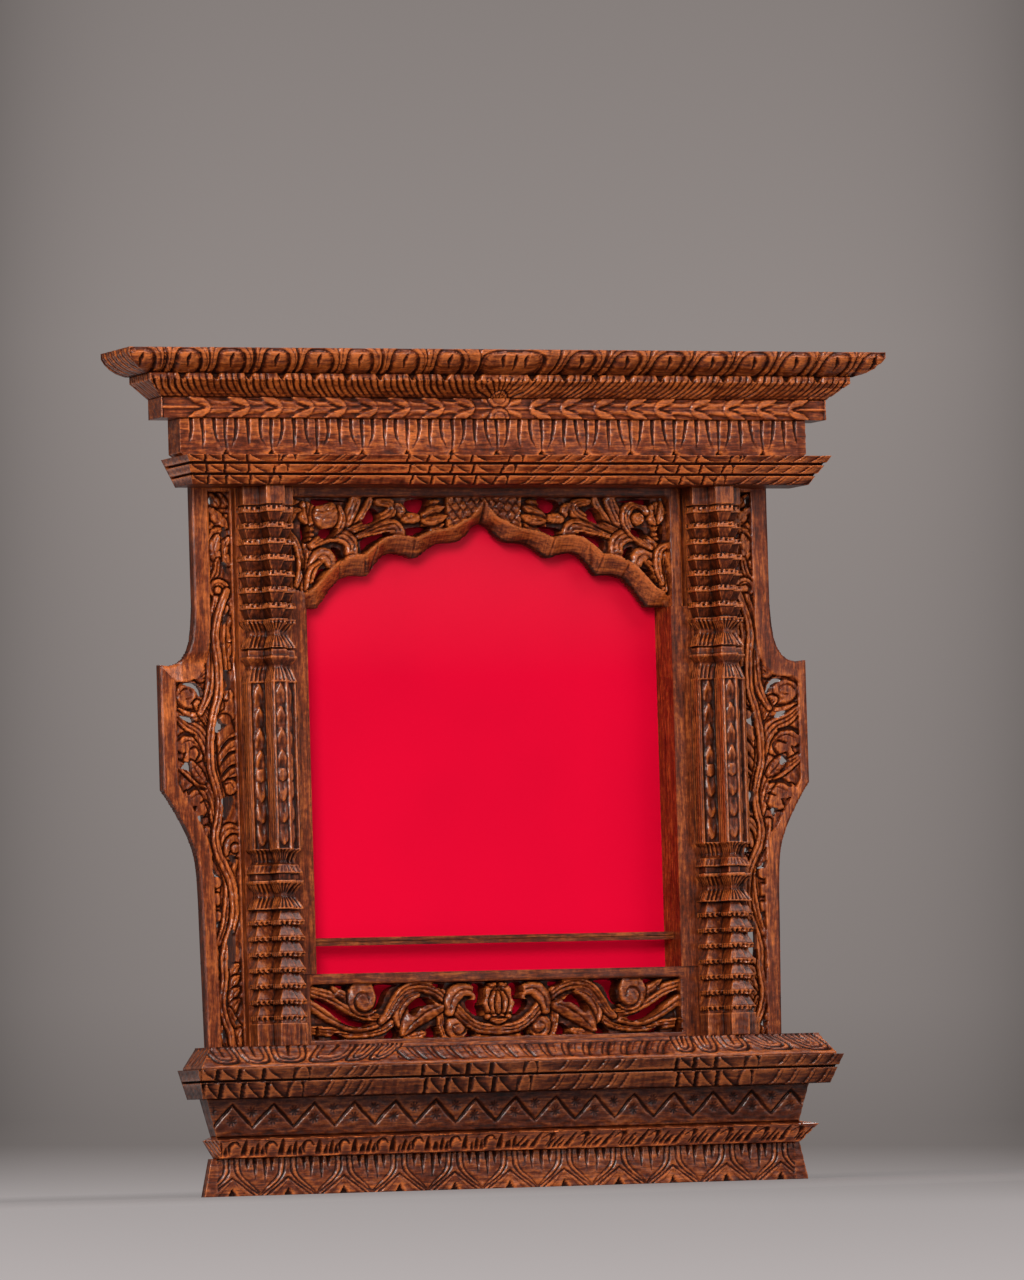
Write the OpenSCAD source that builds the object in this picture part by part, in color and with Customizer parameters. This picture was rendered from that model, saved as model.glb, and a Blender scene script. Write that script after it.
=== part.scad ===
/* [Overall] */
// full height of the frame, from the foot to the top of the cornice
frame_h = 502; // [460:1:540]
// half of the clear width between the two stiles
open_hw = 119.2; // [105:0.2:130]
// width of a stile, seen from the front
stile_w = 44; // [44:1:54]
// depth of the carcass from its front face to its back face
carcass_d = 34; // [30:1:44]

/* [Cornice] */
// half width of the crown board at its top edge
crown_hw = 246; // [230:1:256]
// how far the crown board stands in front of the carcass
crown_out = 49; // [40:0.5:56]
// height of the crown board
crown_h = 14; // [10:0.5:18]
// height of the gadrooned board under the crown
cyma_h = 13.2; // [10:0.2:18]
// height of the board with the chain of leaves
chain_h = 12.3; // [9:0.1:16]
// height of the board with the lotus tongues
flute_h = 23.7; // [18:0.1:30]
// height of the stepped board under the cornice
dentil_h = 16.5; // [12:0.5:22]
// how far the gadrooned board stands in front of the carcass
cyma_out = 35; // [30:0.5:40]
// how far the chain board stands in front of the carcass
chain_out = 23.2; // [20:0.2:28]
// how far the tongue board stands in front of the carcass
tongue_out = 19.4; // [16:0.2:23]
// how far the stepped board stands in front of the carcass
dentil_out = 45.7; // [43:0.1:49]
// distance between two notches of the gadrooned board
notch_pitch = 21; // [18:0.5:26]

/* [Base] */
// height of the lotus plinth
lotus_h = 22.6; // [18:0.2:28]
// height of the gadroon moulding at the wall
gad_h = 12.9; // [9:0.1:16]
// height of the zigzag frieze
frieze_h = 22.5; // [18:0.5:28]
// height of the stepped board in the base
sill_dentil_h = 17.4; // [12:0.1:22]
// height of the sloping leaf board
sill_leaf_h = 13.1; // [9:0.1:18]
// half width of the stepped board in the base at its top edge
base_hw = 209.7; // [200:0.1:218]
// how far the stepped board in the base stands in front of the carcass
sill_out = 35.6; // [32:0.1:40]
// how far the zigzag frieze stands in front of the carcass
frieze_out = 12.2; // [9:0.1:15]
// how far the gadroon moulding stands in front of the carcass
gad_out = 27.5; // [24:0.5:30]
// how far the lotus plinth stands in front of the carcass
lotus_out = 6; // [5:0.5:10]
// distance between two petals of the lotus plinth
petal_pitch = 35.75; // [30:0.25:40]
// distance between two tongues of the tongue board
tongue_pitch = 29.2; // [24:0.2:34]
// distance between two points of the zigzag
zig_pitch = 26; // [20:1:32]

/* [Columns] */
// distance from the opening to a column
col_gap = 11.2; // [10.4:0.1:11.4]
// full width of a column
col_w = 32.2; // [26:0.2:32.4]
// width of the column's middle block
col_mid_w = 12; // [8:0.5:16]
// how far the side steps stand in front of the stile
col_step = 12; // [8:0.5:14]
// how far the middle block stands in front of the stile
col_out = 24.5; // [18:0.5:25]
// number of tiers above and below the shaft
col_tiers = 7; // [5:1:8]
// height of one lower tier
low_pitch = 9.45; // [8:0.05:10]
// height of one upper tier
top_pitch = 9.63; // [8:0.03:10]

/* [Panels and wings] */
// height of the arch panel
arch_h = 73.7; // [68:0.1:80]
// height of the lower panel
low_h = 42.5; // [38:0.5:48]
// width of the arch panel's plain border at the top
arch_border = 7.1; // [5:0.1:8]
// width of the lower panel's plain border at the top
low_border = 6.5; // [5:0.1:7]
// thickness of the carved arch panel and lower panel
panel_t = 17; // [12:1:18]
// how far a panel's lapped end reaches over the stile
lap_w = 11; // [8:0.5:12]
// thickness of a panel's lapped end
lap_t = 8; // [5:0.5:10]
// how far the carved field lies behind the panel's border
field_drop = 2.5; // [1:0.5:4]
// width of a side wing at its widest
wing_w = 48; // [42:0.5:54]
// thickness of a side wing
wing_t = 7; // [6:0.5:9]
// how far a side wing lies behind the carcass front
wing_set = 6; // [4:0.5:9]
// depth of the sunk field of a side wing
wing_sink = 1.5; // [1:0.1:2]
// clear height between the lower panel and the slat
slat_gap = 17; // [12:0.5:24]
// height of the slat across the opening
slat_h = 4.6; // [3:0.2:8]
// thickness of the slat
slat_t = 5; // [3:0.5:7]
// how far the slat is let into each stile
slat_in = 3; // [2:0.5:5]

/* [Picture pack] */
// width of the rebate behind the opening
rebate_w = 8; // [5:0.5:10]
// how far the backing lies inside the back of the carcass
back_set = 0.2; // [0.1:0.1:1]
// thickness of the satin
satin_t = 0.4; // [0.2:0.1:1]
// thickness of the card that carries the satin
card_t = 2.4; // [1.5:0.1:4]
// thickness of the backing board
backing_t = 6.2; // [4:0.1:7]
// gap all round the picture pack in its rebate
pack_gap = 0.5; // [0.2:0.1:1.5]

/* [Joinery] */
// gap between a tenon, tongue or lap and its socket
fit = 0.1; // [0.05:0.05:0.3]
// length of the rail tenons
tenon_l = 24; // [14:1:32]
// thickness of the rail tenons
tenon_t = 12; // [8:1:13]
// depth of the wing's tongue in the stile
tongue_l = 4; // [3:0.5:6]
// thickness of the wing's tongue
tongue_t = 3.4; // [2.5:0.1:5]

/* [Hardware] */
// height of the lower turn buttons above the foot of the picture pack
button_low = 84; // [60:1:110]
// how far the upper turn buttons lie below the top of the picture pack
button_top = 87; // [60:1:110]
// how far the hangers' tubes lie below the top of the frame
hang_drop = 40; // [36:1:60]
// diameter of the screw shanks
screw_d = 3; // [2:0.1:4]
// extra diameter of the pilot holes in the wood
pilot_gap = 0.1; // [0:0.05:0.3]
// extra diameter of the holes that screws pass through
pass_gap = 0.2; // [0.1:0.1:0.6]
// diameter of the screw heads
head_d = 6.6; // [5:0.2:8]
// height of the screw heads
head_h = 1.8; // [1:0.1:3]
// length of a turn button
button_l = 27; // [20:1:36]
// width of a turn button
button_w = 10; // [8:0.5:14]
// thickness of a turn button
button_t = 2; // [1.5:0.1:3]
// gap under and over a turn button
button_gap = 0.12; // [0.05:0.01:0.4]
// wire diameter of a hanging ring
ring_d = 2.4; // [1.8:0.1:3]
// extra diameter of the ring's bearing tube
ring_gap = 0.2; // [0.1:0.1:0.6]
// inner width of a hanging ring
ring_w = 16; // [12:1:22]
// thickness of the hanger strap
strap_t = 1.2; // [0.8:0.1:2]

/* [Hidden] */
$fn = 48;
e = 0.01;
wood_dark = [0.27, 0.12, 0.07];
wood_mid = [0.42, 0.20, 0.11];
wood_warm = [0.52, 0.26, 0.13];
red = [0.85, 0.02, 0.16];
grey_card = [0.55, 0.50, 0.44];
board_tan = [0.55, 0.40, 0.26];
brass = [0.72, 0.56, 0.28];
steel = [0.62, 0.62, 0.60];

yf = -carcass_d / 2;            // front face of the carcass
yb = carcass_d / 2;             // back face of the carcass
sx = open_hw + stile_w;         // outer side of a stile
y_satin = yb - back_set - backing_t - card_t - satin_t;  // front of the satin

// heights of the applied boards, from the foot up
z_gad = lotus_h;
z_frieze = z_gad + gad_h;
z_sd = z_frieze + frieze_h;
z_sl = z_sd + sill_dentil_h;
z_sill = z_sl + sill_leaf_h;
z_crown = frame_h - crown_h;
z_cyma = z_crown - cyma_h;
z_chain = z_cyma - chain_h;
z_flute = z_chain - flute_h;
z_dentil = z_flute - dentil_h;

// the hand-set outlines below were drawn for these sizes
drawn_hw = 119.2;
drawn_arch_top = 424.1;
drawn_arch_h = 73.7;
drawn_low_foot = 88.5;
drawn_low_h = 42.5;
drawn_sx = 163.2;
drawn_wing_w = 48;
drawn_dentil = 422.3;

// panels
p_front = yf + 1;
p_back = p_front + panel_t;
f_front = p_front + field_drop;
arch_z1 = z_dentil + 1.8;
arch_z0 = arch_z1 - arch_h;
arch_b = arch_z1 - arch_border;
low_z0 = z_sill;
low_z1 = z_sill + low_h;
low_b = low_z1 - low_border;
rail_z = arch_z1 + 0.2;
slat_z = low_z1 + slat_gap;
slat_y = yf + 11;

// columns
col_x = open_hw + col_gap + col_w / 2;

// wings
w_front = yf + wing_set;
tongue_y = w_front + 1.8;
tongue_z0 = z_sill + 6.5;
tongue_z1 = z_dentil - 7.3;

// picture pack
pack_x = open_hw + rebate_w - pack_gap;
pack_z0 = z_sill - rebate_w + pack_gap;
pack_z1 = rail_z + rebate_w - pack_gap;
y_card = y_satin + satin_t;
y_back = y_card + card_t;

// hardware places
btn_x = open_hw + rebate_w + 8;
btn_z = [pack_z0 + button_low, pack_z1 - button_top];
hang_x = sx - 20;
hang_l = 30;
hang_z = frame_h - hang_drop;
hang_hole = [8, 22];

// an extrusion along x of an outline given as [y, z]
module along_x(pts, h) rotate([90, 0, 90]) linear_extrude(height = h, center = true) polygon(pts);
// an extrusion along y of an outline given as [x, z], from y0 to y1
module along_y(pts, y0, y1) translate([0, y1, 0]) rotate([90, 0, 0])
  linear_extrude(height = y1 - y0) polygon(pts);
// a box given by its two corners
module box(a, b) translate(a) cube(b - a);
// a straight round rod along y
module rod_y(x, y0, y1, z, d) translate([x, y1, z]) rotate([90, 0, 0]) cylinder(h = y1 - y0, d = d);

// a board with mitred ends: rows of [z, half width, front y] from the bottom to the top
module mitred(rows, back) {
  n = len(rows) - 1;
  intersection() {
    along_x([[back, rows[0][0]], for (r = rows) [r[2], r[0]], [back, rows[n][0]]], 600);
    along_y([for (r = rows) [r[1], r[0]], for (i = [n : -1 : 0]) [-rows[i][1], rows[i][0]]],
      -90, back);
  }
}
// a saw cut that runs along the front and both ends at height z
module saw_cut(z, h, hw, y, deep) difference() {
  box([-300, -100, z], [300, yf + 20, z + h]);
  box([-hw + deep, y + deep, z - 1], [hw - deep, yf + 30, z + h + 1]);
}
// a smooth closed outline through hand-set points
function cr(a, b, c, d, t) = 0.5 * ((2 * b) + (c - a) * t + (2 * a - 5 * b + 4 * c - d) * t * t
  + (3 * b - a - 3 * c + d) * t * t * t);
function loop(p, n = 3) = let (m = len(p)) [for (i = [0 : m - 1]) for (k = [0 : n - 1])
  cr(p[(i + m - 1) % m], p[i], p[(i + 1) % m], p[(i + 2) % m], k / n)];
// hand-set points moved to the sizes in use
function at_arch(p) = [for (q = p) [q[0] * open_hw / drawn_hw,
  arch_z1 + (q[1] - drawn_arch_top) * arch_h / drawn_arch_h]];
function at_low(p) = [for (q = p) [q[0] * open_hw / drawn_hw,
  low_z0 + (q[1] - drawn_low_foot) * low_h / drawn_low_h]];
function at_wing(p) = [for (q = p) [sx + (q[0] - drawn_sx) * wing_w / drawn_wing_w,
  z_sill + (q[1] - drawn_low_foot) * (z_dentil - z_sill) / (drawn_dentil - drawn_low_foot)]];

// stiles, with the sockets for rails, panels, slat and wing

module stile_body() difference() {
  box([open_hw, yf, 0], [sx, yb, frame_h]);
  // rebate for the picture pack
  box([open_hw - 1, y_satin, z_sill - rebate_w], [open_hw + rebate_w, yb + 1, rail_z + rebate_w]);
  // sockets for the lapped ends of the two panels
  box([open_hw - 1, yf - 1, arch_z0], [open_hw + lap_w + fit, p_front + lap_t + fit, arch_z1 + fit]);
  box([open_hw - 1, yf - 1, low_z0], [open_hw + lap_w + fit, p_front + lap_t + fit, low_z1 + fit]);
  // mortises for the rail tenons
  box([open_hw - 1, -tenon_t / 2 - fit, rail_z + 14 - fit],
    [open_hw + tenon_l + fit, tenon_t / 2 + fit, frame_h - 12 + fit]);
  box([open_hw - 1, -tenon_t / 2 - fit, 12 - fit],
    [open_hw + tenon_l + fit, tenon_t / 2 + fit, z_sill - 14 + fit]);
  // groove for the slat
  box([open_hw - 1, slat_y - fit, slat_z - fit], [open_hw + slat_in + fit, slat_y + slat_t + fit,
    slat_z + slat_h + fit]);
  // groove for the wing's tongue
  box([sx - tongue_l - fit, tongue_y - fit, tongue_z0 - fit],
    [sx + 1, tongue_y + tongue_t + fit, tongue_z1 + fit]);
  // pilot holes for the turn buttons and the hanger
  for (z = btn_z) rod_y(btn_x, yb - 14, yb + 1, z, screw_d + pilot_gap);
  for (h = hang_hole) rod_y(hang_x, yb - 10, yb + 1, hang_z + h, screw_d + pilot_gap);
}
module left_stile() color(wood_mid) mirror([1, 0, 0]) stile_body();
module right_stile() color(wood_mid) stile_body();

// rails between the stiles

module top_rail() color(wood_mid) union() {
  difference() {
    box([-open_hw, yf, rail_z], [open_hw, yb, frame_h]);
    box([-open_hw - 1, y_satin, rail_z - 1], [open_hw + 1, yb + 1, rail_z + rebate_w]);
  }
  for (s = [0, 1]) mirror([s, 0, 0]) box([open_hw - e, -tenon_t / 2, rail_z + 14],
    [open_hw + tenon_l, tenon_t / 2, frame_h - 12]);
}
module bottom_rail() color(wood_mid) union() {
  difference() {
    box([-open_hw, yf, 0], [open_hw, yb, z_sill - 0.2]);
    box([-open_hw - 1, y_satin, z_sill - rebate_w], [open_hw + 1, yb + 1, z_sill + 1]);
  }
  for (s = [0, 1]) mirror([s, 0, 0]) box([open_hw - e, -tenon_t / 2, 12],
    [open_hw + tenon_l, tenon_t / 2, z_sill - 14]);
}

// the pierced arch panel: right half set by hand, the left half mirrored

arch_low = [[0, 402], [5.5, 399.5], [9.5, 395], [13.5, 391.5], [18, 390.2], [24, 390], [29, 389.3],
  [34, 387], [39, 383.3], [42.5, 381], [45.5, 380.8], [49.5, 382.4], [54, 383.6], [59.5, 383.8],
  [64, 382.5], [67, 380], [70.5, 376], [73, 372.5], [75, 370], [79, 370.2], [84, 370.4], [89, 369.7],
  [93, 368], [96.5, 365], [100, 361], [104, 355.5], [108, 350.6]];
arch_top = [[0, 415.5], [3.5, 410], [8.5, 404.5], [14, 402], [20, 399], [27, 397.3], [34, 396.2],
  [40, 394], [45, 392], [50, 393], [57, 393.3], [64, 392.3], [70, 388.5], [75, 384.5], [78, 382],
  [82, 382], [88, 380.5], [94, 378], [99, 374.5], [104, 370], [108, 365.5], [112, 361.5], [117, 359]];
arch_holes = [
  [[35, 416], [47, 416], [51, 413], [47, 408.5], [39, 408.5]],
  [[34.5, 399], [42, 399.5], [50, 398.3], [51, 395], [46, 394], [41, 395.5]],
  [[67.5, 404], [69, 409.5], [74.5, 410.5], [79.5, 401.5], [74, 401]],
  [[62, 394.2], [63, 396.5], [71, 394.5], [80, 391], [79.5, 386], [78.5, 382.8], [75.5, 386], [69, 391]],
  [[88, 414.5], [98, 416], [111, 416], [109, 412], [104, 412.5], [97, 414.3]],
  [[95.5, 398], [98.5, 393.5], [104, 391.5], [107.5, 393.5], [105.5, 397.5], [100.5, 398.7]],
  [[113.5, 398], [114.5, 390], [117.5, 389.3], [118.6, 394], [118.6, 401], [116, 400.5]],
  [[91.5, 379.5], [92.5, 384], [94, 386.5], [99, 387], [97, 382.5], [94.5, 379.3]],
  [[100.5, 374.6], [104, 374.5], [108, 373.3], [111, 369.5], [111.8, 364], [108, 367.5], [104, 371.8]],
  [[117, 372], [118, 378], [119, 381], [119.6, 374], [118.2, 367]]];

module arch_shape(low) difference() {
  polygon([for (p = low) p, [open_hw - fit, arch_z0], [open_hw - fit, arch_b + 0.2],
    [-open_hw + fit, arch_b + 0.2], [-open_hw + fit, arch_z0],
    for (i = [len(low) - 1 : -1 : 1]) [-low[i][0], low[i][1]]]);
  for (s = [0, 1], h = arch_holes) mirror([s, 0]) polygon(loop(at_arch(h)));
}

module arch_panel() color(wood_warm) union() {
  // carved field: a back layer down to the cusped edge, a front layer down to the rib
  translate([0, p_back, 0]) rotate([90, 0, 0]) linear_extrude(height = p_back - yf - 12)
    arch_shape(at_arch(arch_low));
  translate([0, yf + 12 + e, 0]) rotate([90, 0, 0]) linear_extrude(height = yf + 12 + e - f_front)
    arch_shape(at_arch(arch_top));
  // border along the top and down both sides, lapped over the stiles
  box([-open_hw - lap_w, p_front, arch_b], [open_hw + lap_w, p_front + lap_t, arch_z1]);
  box([-open_hw + fit, p_front, arch_b], [open_hw - fit, p_back, arch_z1]);
  for (s = [0, 1]) mirror([s, 0, 0]) box([open_hw - 0.6, p_front, arch_z0],
    [open_hw + lap_w, p_front + lap_t, arch_b + 0.5]);
}

// the pierced lower panel: right half set by hand, the left half mirrored

low_holes = [
  [[8.5, 123], [15.5, 123.5], [16.5, 118], [14.5, 114], [19, 113.5], [20.5, 111], [17.5, 106.5],
    [11, 103.4], [9.2, 105.5], [10.5, 110], [8.3, 114.5], [8, 119]],
  [[34, 123.6], [43, 123.4], [38, 120.4], [35.5, 120.8]],
  [[41.5, 111.2], [45, 115], [50, 116.4], [55, 114.4], [58, 110], [58.6, 106.3], [55, 104.6],
    [52, 108.5], [47, 110.9]],
  [[64, 123.7], [79.5, 123.8], [78.3, 117], [79.5, 111.5], [82.3, 109.4], [77.5, 109.1],
    [74, 112], [72, 117], [69, 121.3]],
  [[97, 123.7], [106, 123.8], [102, 121.4], [99, 120.3]],
  [[83, 100.7], [92, 103.2], [99, 107.6], [107, 112.6], [113.5, 116], [118.3, 116.8],
    [117.5, 113.4], [112, 109.8], [106, 104.6], [99, 100.5], [90, 98.7]],
  [[64.5, 95.2], [68, 98.6], [70.2, 96], [74, 92.4], [70, 91.9], [65, 92]],
  [[98.5, 92], [105, 95.2], [108.5, 94.2], [106.5, 92]],
  [[14, 92], [19, 97.2], [21, 94.3], [20.6, 92]],
  [[38, 92.2], [39.5, 98.4], [44, 98], [46.8, 95], [46.2, 92.2]],
  [[115.3, 92.2], [118.6, 92.4], [118.6, 99], [116.8, 99.5], [116, 95.5]]];

module lower_panel() color(wood_warm) union() {
  translate([0, p_back, 0]) rotate([90, 0, 0]) linear_extrude(height = p_back - f_front)
    difference() {
      translate([-open_hw + fit, low_z0]) square([2 * (open_hw - fit), low_h]);
      for (s = [0, 1], h = low_holes) mirror([s, 0]) polygon(loop(at_low(h)));
    }
  // border along the top, the lip at the foot and both lapped sides
  box([-open_hw - lap_w, p_front, low_b], [open_hw + lap_w, p_front + lap_t, low_z1]);
  box([-open_hw + fit, p_front, low_z0], [open_hw - fit, p_front + lap_t, low_z0 + 3.1]);
  for (s = [0, 1]) mirror([s, 0, 0]) box([open_hw - 0.4, p_front, low_z0],
    [open_hw + lap_w, p_front + lap_t, low_b + 0.5]);
}

// slat across the opening, let into both stiles

module picture_slat() color(wood_dark) difference() {
  box([-open_hw - slat_in, slat_y, slat_z], [open_hw + slat_in, slat_y + slat_t, slat_z + slat_h]);
  translate([0, slat_y, slat_z + slat_h / 2])
    along_x([[-1, -0.5], [0.8, 0], [-1, 0.5]], 2 * open_hw);
}

// columns: one list of steps [height, how far in from full size]

function up(z0, rows) = [for (r = rows) [z0 + r[0], r[1]]];
low_t = z_sill + 15;                        // foot of the lower tiers
mid_t = low_t + col_tiers * low_pitch;      // top of the lower tiers
top_t = z_dentil - 12.3 - col_tiers * top_pitch;  // foot of the upper tiers
tier_low = [[0, 0], [2.6, 0], [2.7, 0.2], [low_pitch - 1.4, 1.9], [low_pitch - 0.05, 1.9]];
tier_top = [[0.05, 1.9], [top_pitch - 3.3, 0.3], [top_pitch - 3.2, 0], [top_pitch, 0]];
col_rows = concat(up(z_sill, [[0, 0], [13.5, 0], [13.5, 1], [14.9, 1]]),
  [for (i = [0 : col_tiers - 1]) each up(low_t + i * low_pitch, tier_low)],
  up(mid_t, [[0.05, 0], [1.4, 0.1], [8.3, 2.2], [14.7, 0.4], [14.8, 0], [17.3, 0], [17.4, 1.7],
    [21.5, 1.7], [21.6, 0], [22.3, 0], [26.9, 1.7], [27.3, 2.8], [33.3, 2.8], [35.1, 0.6]]),
  up(top_t, [[-36.6, 0.6], [-27.6, 2.4], [-22.8, 0.3], [-22.7, 0], [-22, 0], [-18.6, 1.6],
    [-17.2, 1.9], [-17.1, 0], [-16, 0.1], [-8.6, 2.2], [-2.7, 0.4], [-2.6, 0], [0, 0]]),
  [for (i = [0 : col_tiers - 1]) each up(top_t + i * top_pitch, tier_top)],
  up(z_dentil, [[-12.25, 0], [-12.2, 1.1], [-11.4, 1.1], [-11.3, 0], [0, 0]]));

// the column is stacked from short lengths of ten steps each
module post(hw, out) for (i = [0 : 10 : len(col_rows) - 2])
  mitred([for (k = [i : min(i + 10, len(col_rows) - 1)]) let (r = col_rows[k])
    [r[0], hw - r[1], yf - out + r[1]]], yf);
module column_body() difference() {
  union() {
    post(col_w / 2, col_step);
    post(col_mid_w / 2, col_out);
  }
  // sunk lines beside the row of beads on the shaft
  for (s = [-1, 1]) {
    for (k = [[col_mid_w / 2 - 2.4, col_out], [col_mid_w / 2 + 6.2, col_step],
        [col_w / 2 - 1.9, col_step]])
      box([s * k[0] - 0.4, yf - k[1] - 1, mid_t + 37.4], [s * k[0] + 0.4, yf - k[1] + 1.6, top_t - 38.6]);
  }
}
module left_column() color(wood_warm) translate([-col_x, 0, 0]) column_body();
module right_column() color(wood_warm) translate([col_x, 0, 0]) column_body();

// side wings: right wing set by hand, the left wing mirrored

wing_out = [[188.3, 424.6], [188.2, 352], [189, 341], [190.2, 332], [192.3, 325.5], [195.5, 320.7],
  [199.5, 317.7], [204, 316.6], [211.2, 317.4], [211.2, 242.5], [208, 238], [203.5, 231], [199, 223],
  [195, 215], [192.2, 207.5], [190.4, 200], [189.4, 190], [188.9, 176], [188.5, 150], [187.9, 120],
  [187.3, 86.5]];
wing_in = [[165.6, 88.5], [178.2, 88.5], [178.6, 120], [179.4, 150], [179.8, 176], [180.2, 190],
  [181.2, 203], [183.4, 213], [187, 222], [192, 231], [197.5, 239.5], [201.4, 246.5], [201.4, 306.5],
  [193.5, 306.8], [187.5, 309], [183.5, 313.5], [180.6, 320], [178.8, 330], [177.8, 345],
  [177.6, 420.5], [165.6, 420.5]];
wing_holes = [
  [[176.4, 418.4], [174, 415.6], [175.6, 411.6], [177, 414.6]],
  [[167.3, 399.5], [166, 394], [169.5, 393.3], [168.4, 398]],
  [[169.6, 378.4], [166.4, 376.6], [166, 371.5], [168, 373]],
  [[170.4, 341.4], [166.4, 350.6], [166, 345], [168.2, 342]],
  [[170.6, 313.2], [169, 304.6], [170, 301.8], [166.2, 301.8], [166.3, 308], [167.4, 313.2]],
  [[196.6, 305.6], [190, 306.3], [185.6, 303.2], [184.3, 297.4], [187, 298.2], [190, 302.4]],
  [[199.4, 286.7], [191, 285.6], [190.3, 282.2], [195.5, 283.6]],
  [[175.2, 286.4], [172.6, 281.9], [169.4, 281.2], [173.6, 277.4], [176.5, 277.2]],
  [[199.3, 256], [193.6, 259.8], [192.4, 253.6], [196.5, 254.3]],
  [[174.4, 236.6], [166.5, 238.2], [167.3, 232.6], [171, 225.3], [172.6, 224], [173.1, 231]],
  [[190, 226.3], [186, 227.2], [186.4, 221.3], [188.6, 223.4]],
  [[170.4, 202.6], [166.2, 202.7], [166.4, 197.9], [169, 199.8]],
  [[181.4, 195.8], [180.4, 190.9], [175.3, 190], [178, 192]],
  [[178.4, 164], [176.8, 161.4], [177.9, 158.8], [179.2, 161]],
  [[172.9, 152], [171.4, 157.1], [168.7, 158.7], [167.6, 153], [167.8, 140.2], [171.8, 135.3],
    [173, 145]],
  [[168.5, 106.2], [167, 103], [167.6, 99.6], [169.2, 102.6]],
  [[176.8, 99.6], [175.2, 95], [176.6, 91], [178, 95]]];

module wing_body() union() {
  difference() {
    along_y(at_wing([[drawn_sx, 86.5], [drawn_sx, 424.6], each wing_out]), w_front, w_front + wing_t);
    // sunk field inside the raised border
    along_y(at_wing(wing_in), w_front - 1, w_front + wing_sink);
    // pierced work
    for (h = wing_holes) along_y(loop(at_wing(h)), w_front - 2, w_front + wing_t + 1);
  }
  // tongue in the stile
  box([sx - tongue_l, tongue_y, tongue_z0], [sx + 0.5, tongue_y + tongue_t, tongue_z1]);
}
module left_wing() color(wood_warm) mirror([1, 0, 0]) wing_body();
module right_wing() color(wood_warm) wing_body();

// cornice boards

module crown_board() color(wood_warm) mitred([
  [z_crown, crown_hw - 15, yf - crown_out + 15], [z_crown + 1.8, crown_hw - 9.3, yf - crown_out + 9.3],
  [z_crown + 4.3, crown_hw - 5.2, yf - crown_out + 5.2],
  [z_crown + 7.5, crown_hw - 2, yf - crown_out + 2], [z_crown + 10.5, crown_hw, yf - crown_out],
  [frame_h, crown_hw, yf - crown_out]], yf);

cyma_hw = crown_hw - 17.7;
module cyma_board() color(wood_warm) difference() {
  mitred([[z_cyma, cyma_hw - 11.1, yf - cyma_out + 11.4], [z_crown - 4.1, cyma_hw, yf - cyma_out],
    [z_crown, cyma_hw, yf - cyma_out]], yf);
  // small notches along the top edge
  for (s = [0, 1], i = [0 : floor((cyma_hw - 30) / notch_pitch)]) mirror([s, 0, 0])
    translate([18 + notch_pitch * i, 0, 0])
      along_y([[-2.6, z_crown + 1], [0, z_crown - 3], [2.6, z_crown + 1]], yf - cyma_out - 1,
        yf - cyma_out + 2.6);
}

module chain_board() color(wood_warm)
  box([-crown_hw + 29.2, yf - chain_out, z_chain], [crown_hw - 29.2, yf, z_cyma]);

tongue_hw = crown_hw - 41.4;
module tongue_board() color(wood_mid) difference() {
  // end corners cut back at the foot
  along_y([[tongue_hw - 4, z_flute], [tongue_hw, z_flute + 3], [tongue_hw, z_chain],
    [-tongue_hw, z_chain], [-tongue_hw, z_flute + 3], [-tongue_hw + 4, z_flute]], yf - tongue_out, yf);
  for (s = [0, 1], i = [0 : floor((tongue_hw - 12) / tongue_pitch)]) mirror([s, 0, 0])
    translate([tongue_pitch * i, yf - tongue_out, 0]) {
      // notch and groove between two tongues
      along_y([[-3.4, z_flute - 1], [0, z_flute + 2.6], [3.4, z_flute - 1]], -1, 4);
      along_y([[-1.2, z_chain + 1], [-0.3, z_flute + 4.5], [0.3, z_flute + 4.5], [1.2, z_chain + 1]],
        -1, 1.4);
      // groove down the middle of a tongue
      if ((i + 1) * tongue_pitch < tongue_hw) translate([tongue_pitch / 2, 0, 0])
        along_y([[-1.1, z_chain + 1], [0, z_flute + 4], [1.1, z_chain + 1]], -1, 1.2);
    }
}

dentil_hw = crown_hw - 36.4;
module upper_dentil_board() color(wood_mid) difference() {
  mitred([[z_dentil, dentil_hw - 8.6, yf - dentil_out + 16.9], [z_flute, dentil_hw, yf - dentil_out]], yf);
  saw_cut(z_dentil + dentil_h * 0.3, 1.5, dentil_hw - 6.1, yf - dentil_out + 12, 3);
  saw_cut(z_dentil + dentil_h * 0.67, 1.6, dentil_hw - 2.9, yf - dentil_out + 5.7, 3);
  // groups of three upright blocks
  for (x0 = [3.6 - dentil_hw, -65, dentil_hw - 113.6], k = [0 : 3]) translate([x0 + k * 13.4, 0, 0])
    box([-1, -90, z_dentil - 1], [1, yf - dentil_out + 13.3, z_flute + 1]);
}

// base boards

module sill_leaf_board() color(wood_warm)
  mitred([[z_sl, base_hw - 3.5, yf - sill_out + 3.6], [z_sl + 1.2, base_hw - 3.5, yf - sill_out + 3.6],
    [z_sill - 0.8, base_hw - 11.4, yf - col_out], [z_sill, base_hw - 11.4, yf - col_out]], yf);

module sill_dentil_board() color(wood_mid) difference() {
  mitred([[z_sd, base_hw - 5.7, yf - sill_out + 8.8], [z_sl, base_hw, yf - sill_out]], yf);
  saw_cut(z_sd + sill_dentil_h * 0.54, 1.4, base_hw - 2.6, yf - sill_out + 4, 3);
  for (x0 = [5.7 - base_hw, -62, base_hw - 106.7], k = [0 : 3]) translate([x0 + k * 14, 0, 0])
    box([-1, -90, z_sd - 1], [1, yf - sill_out + 6, z_sl + 1]);
}

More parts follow.
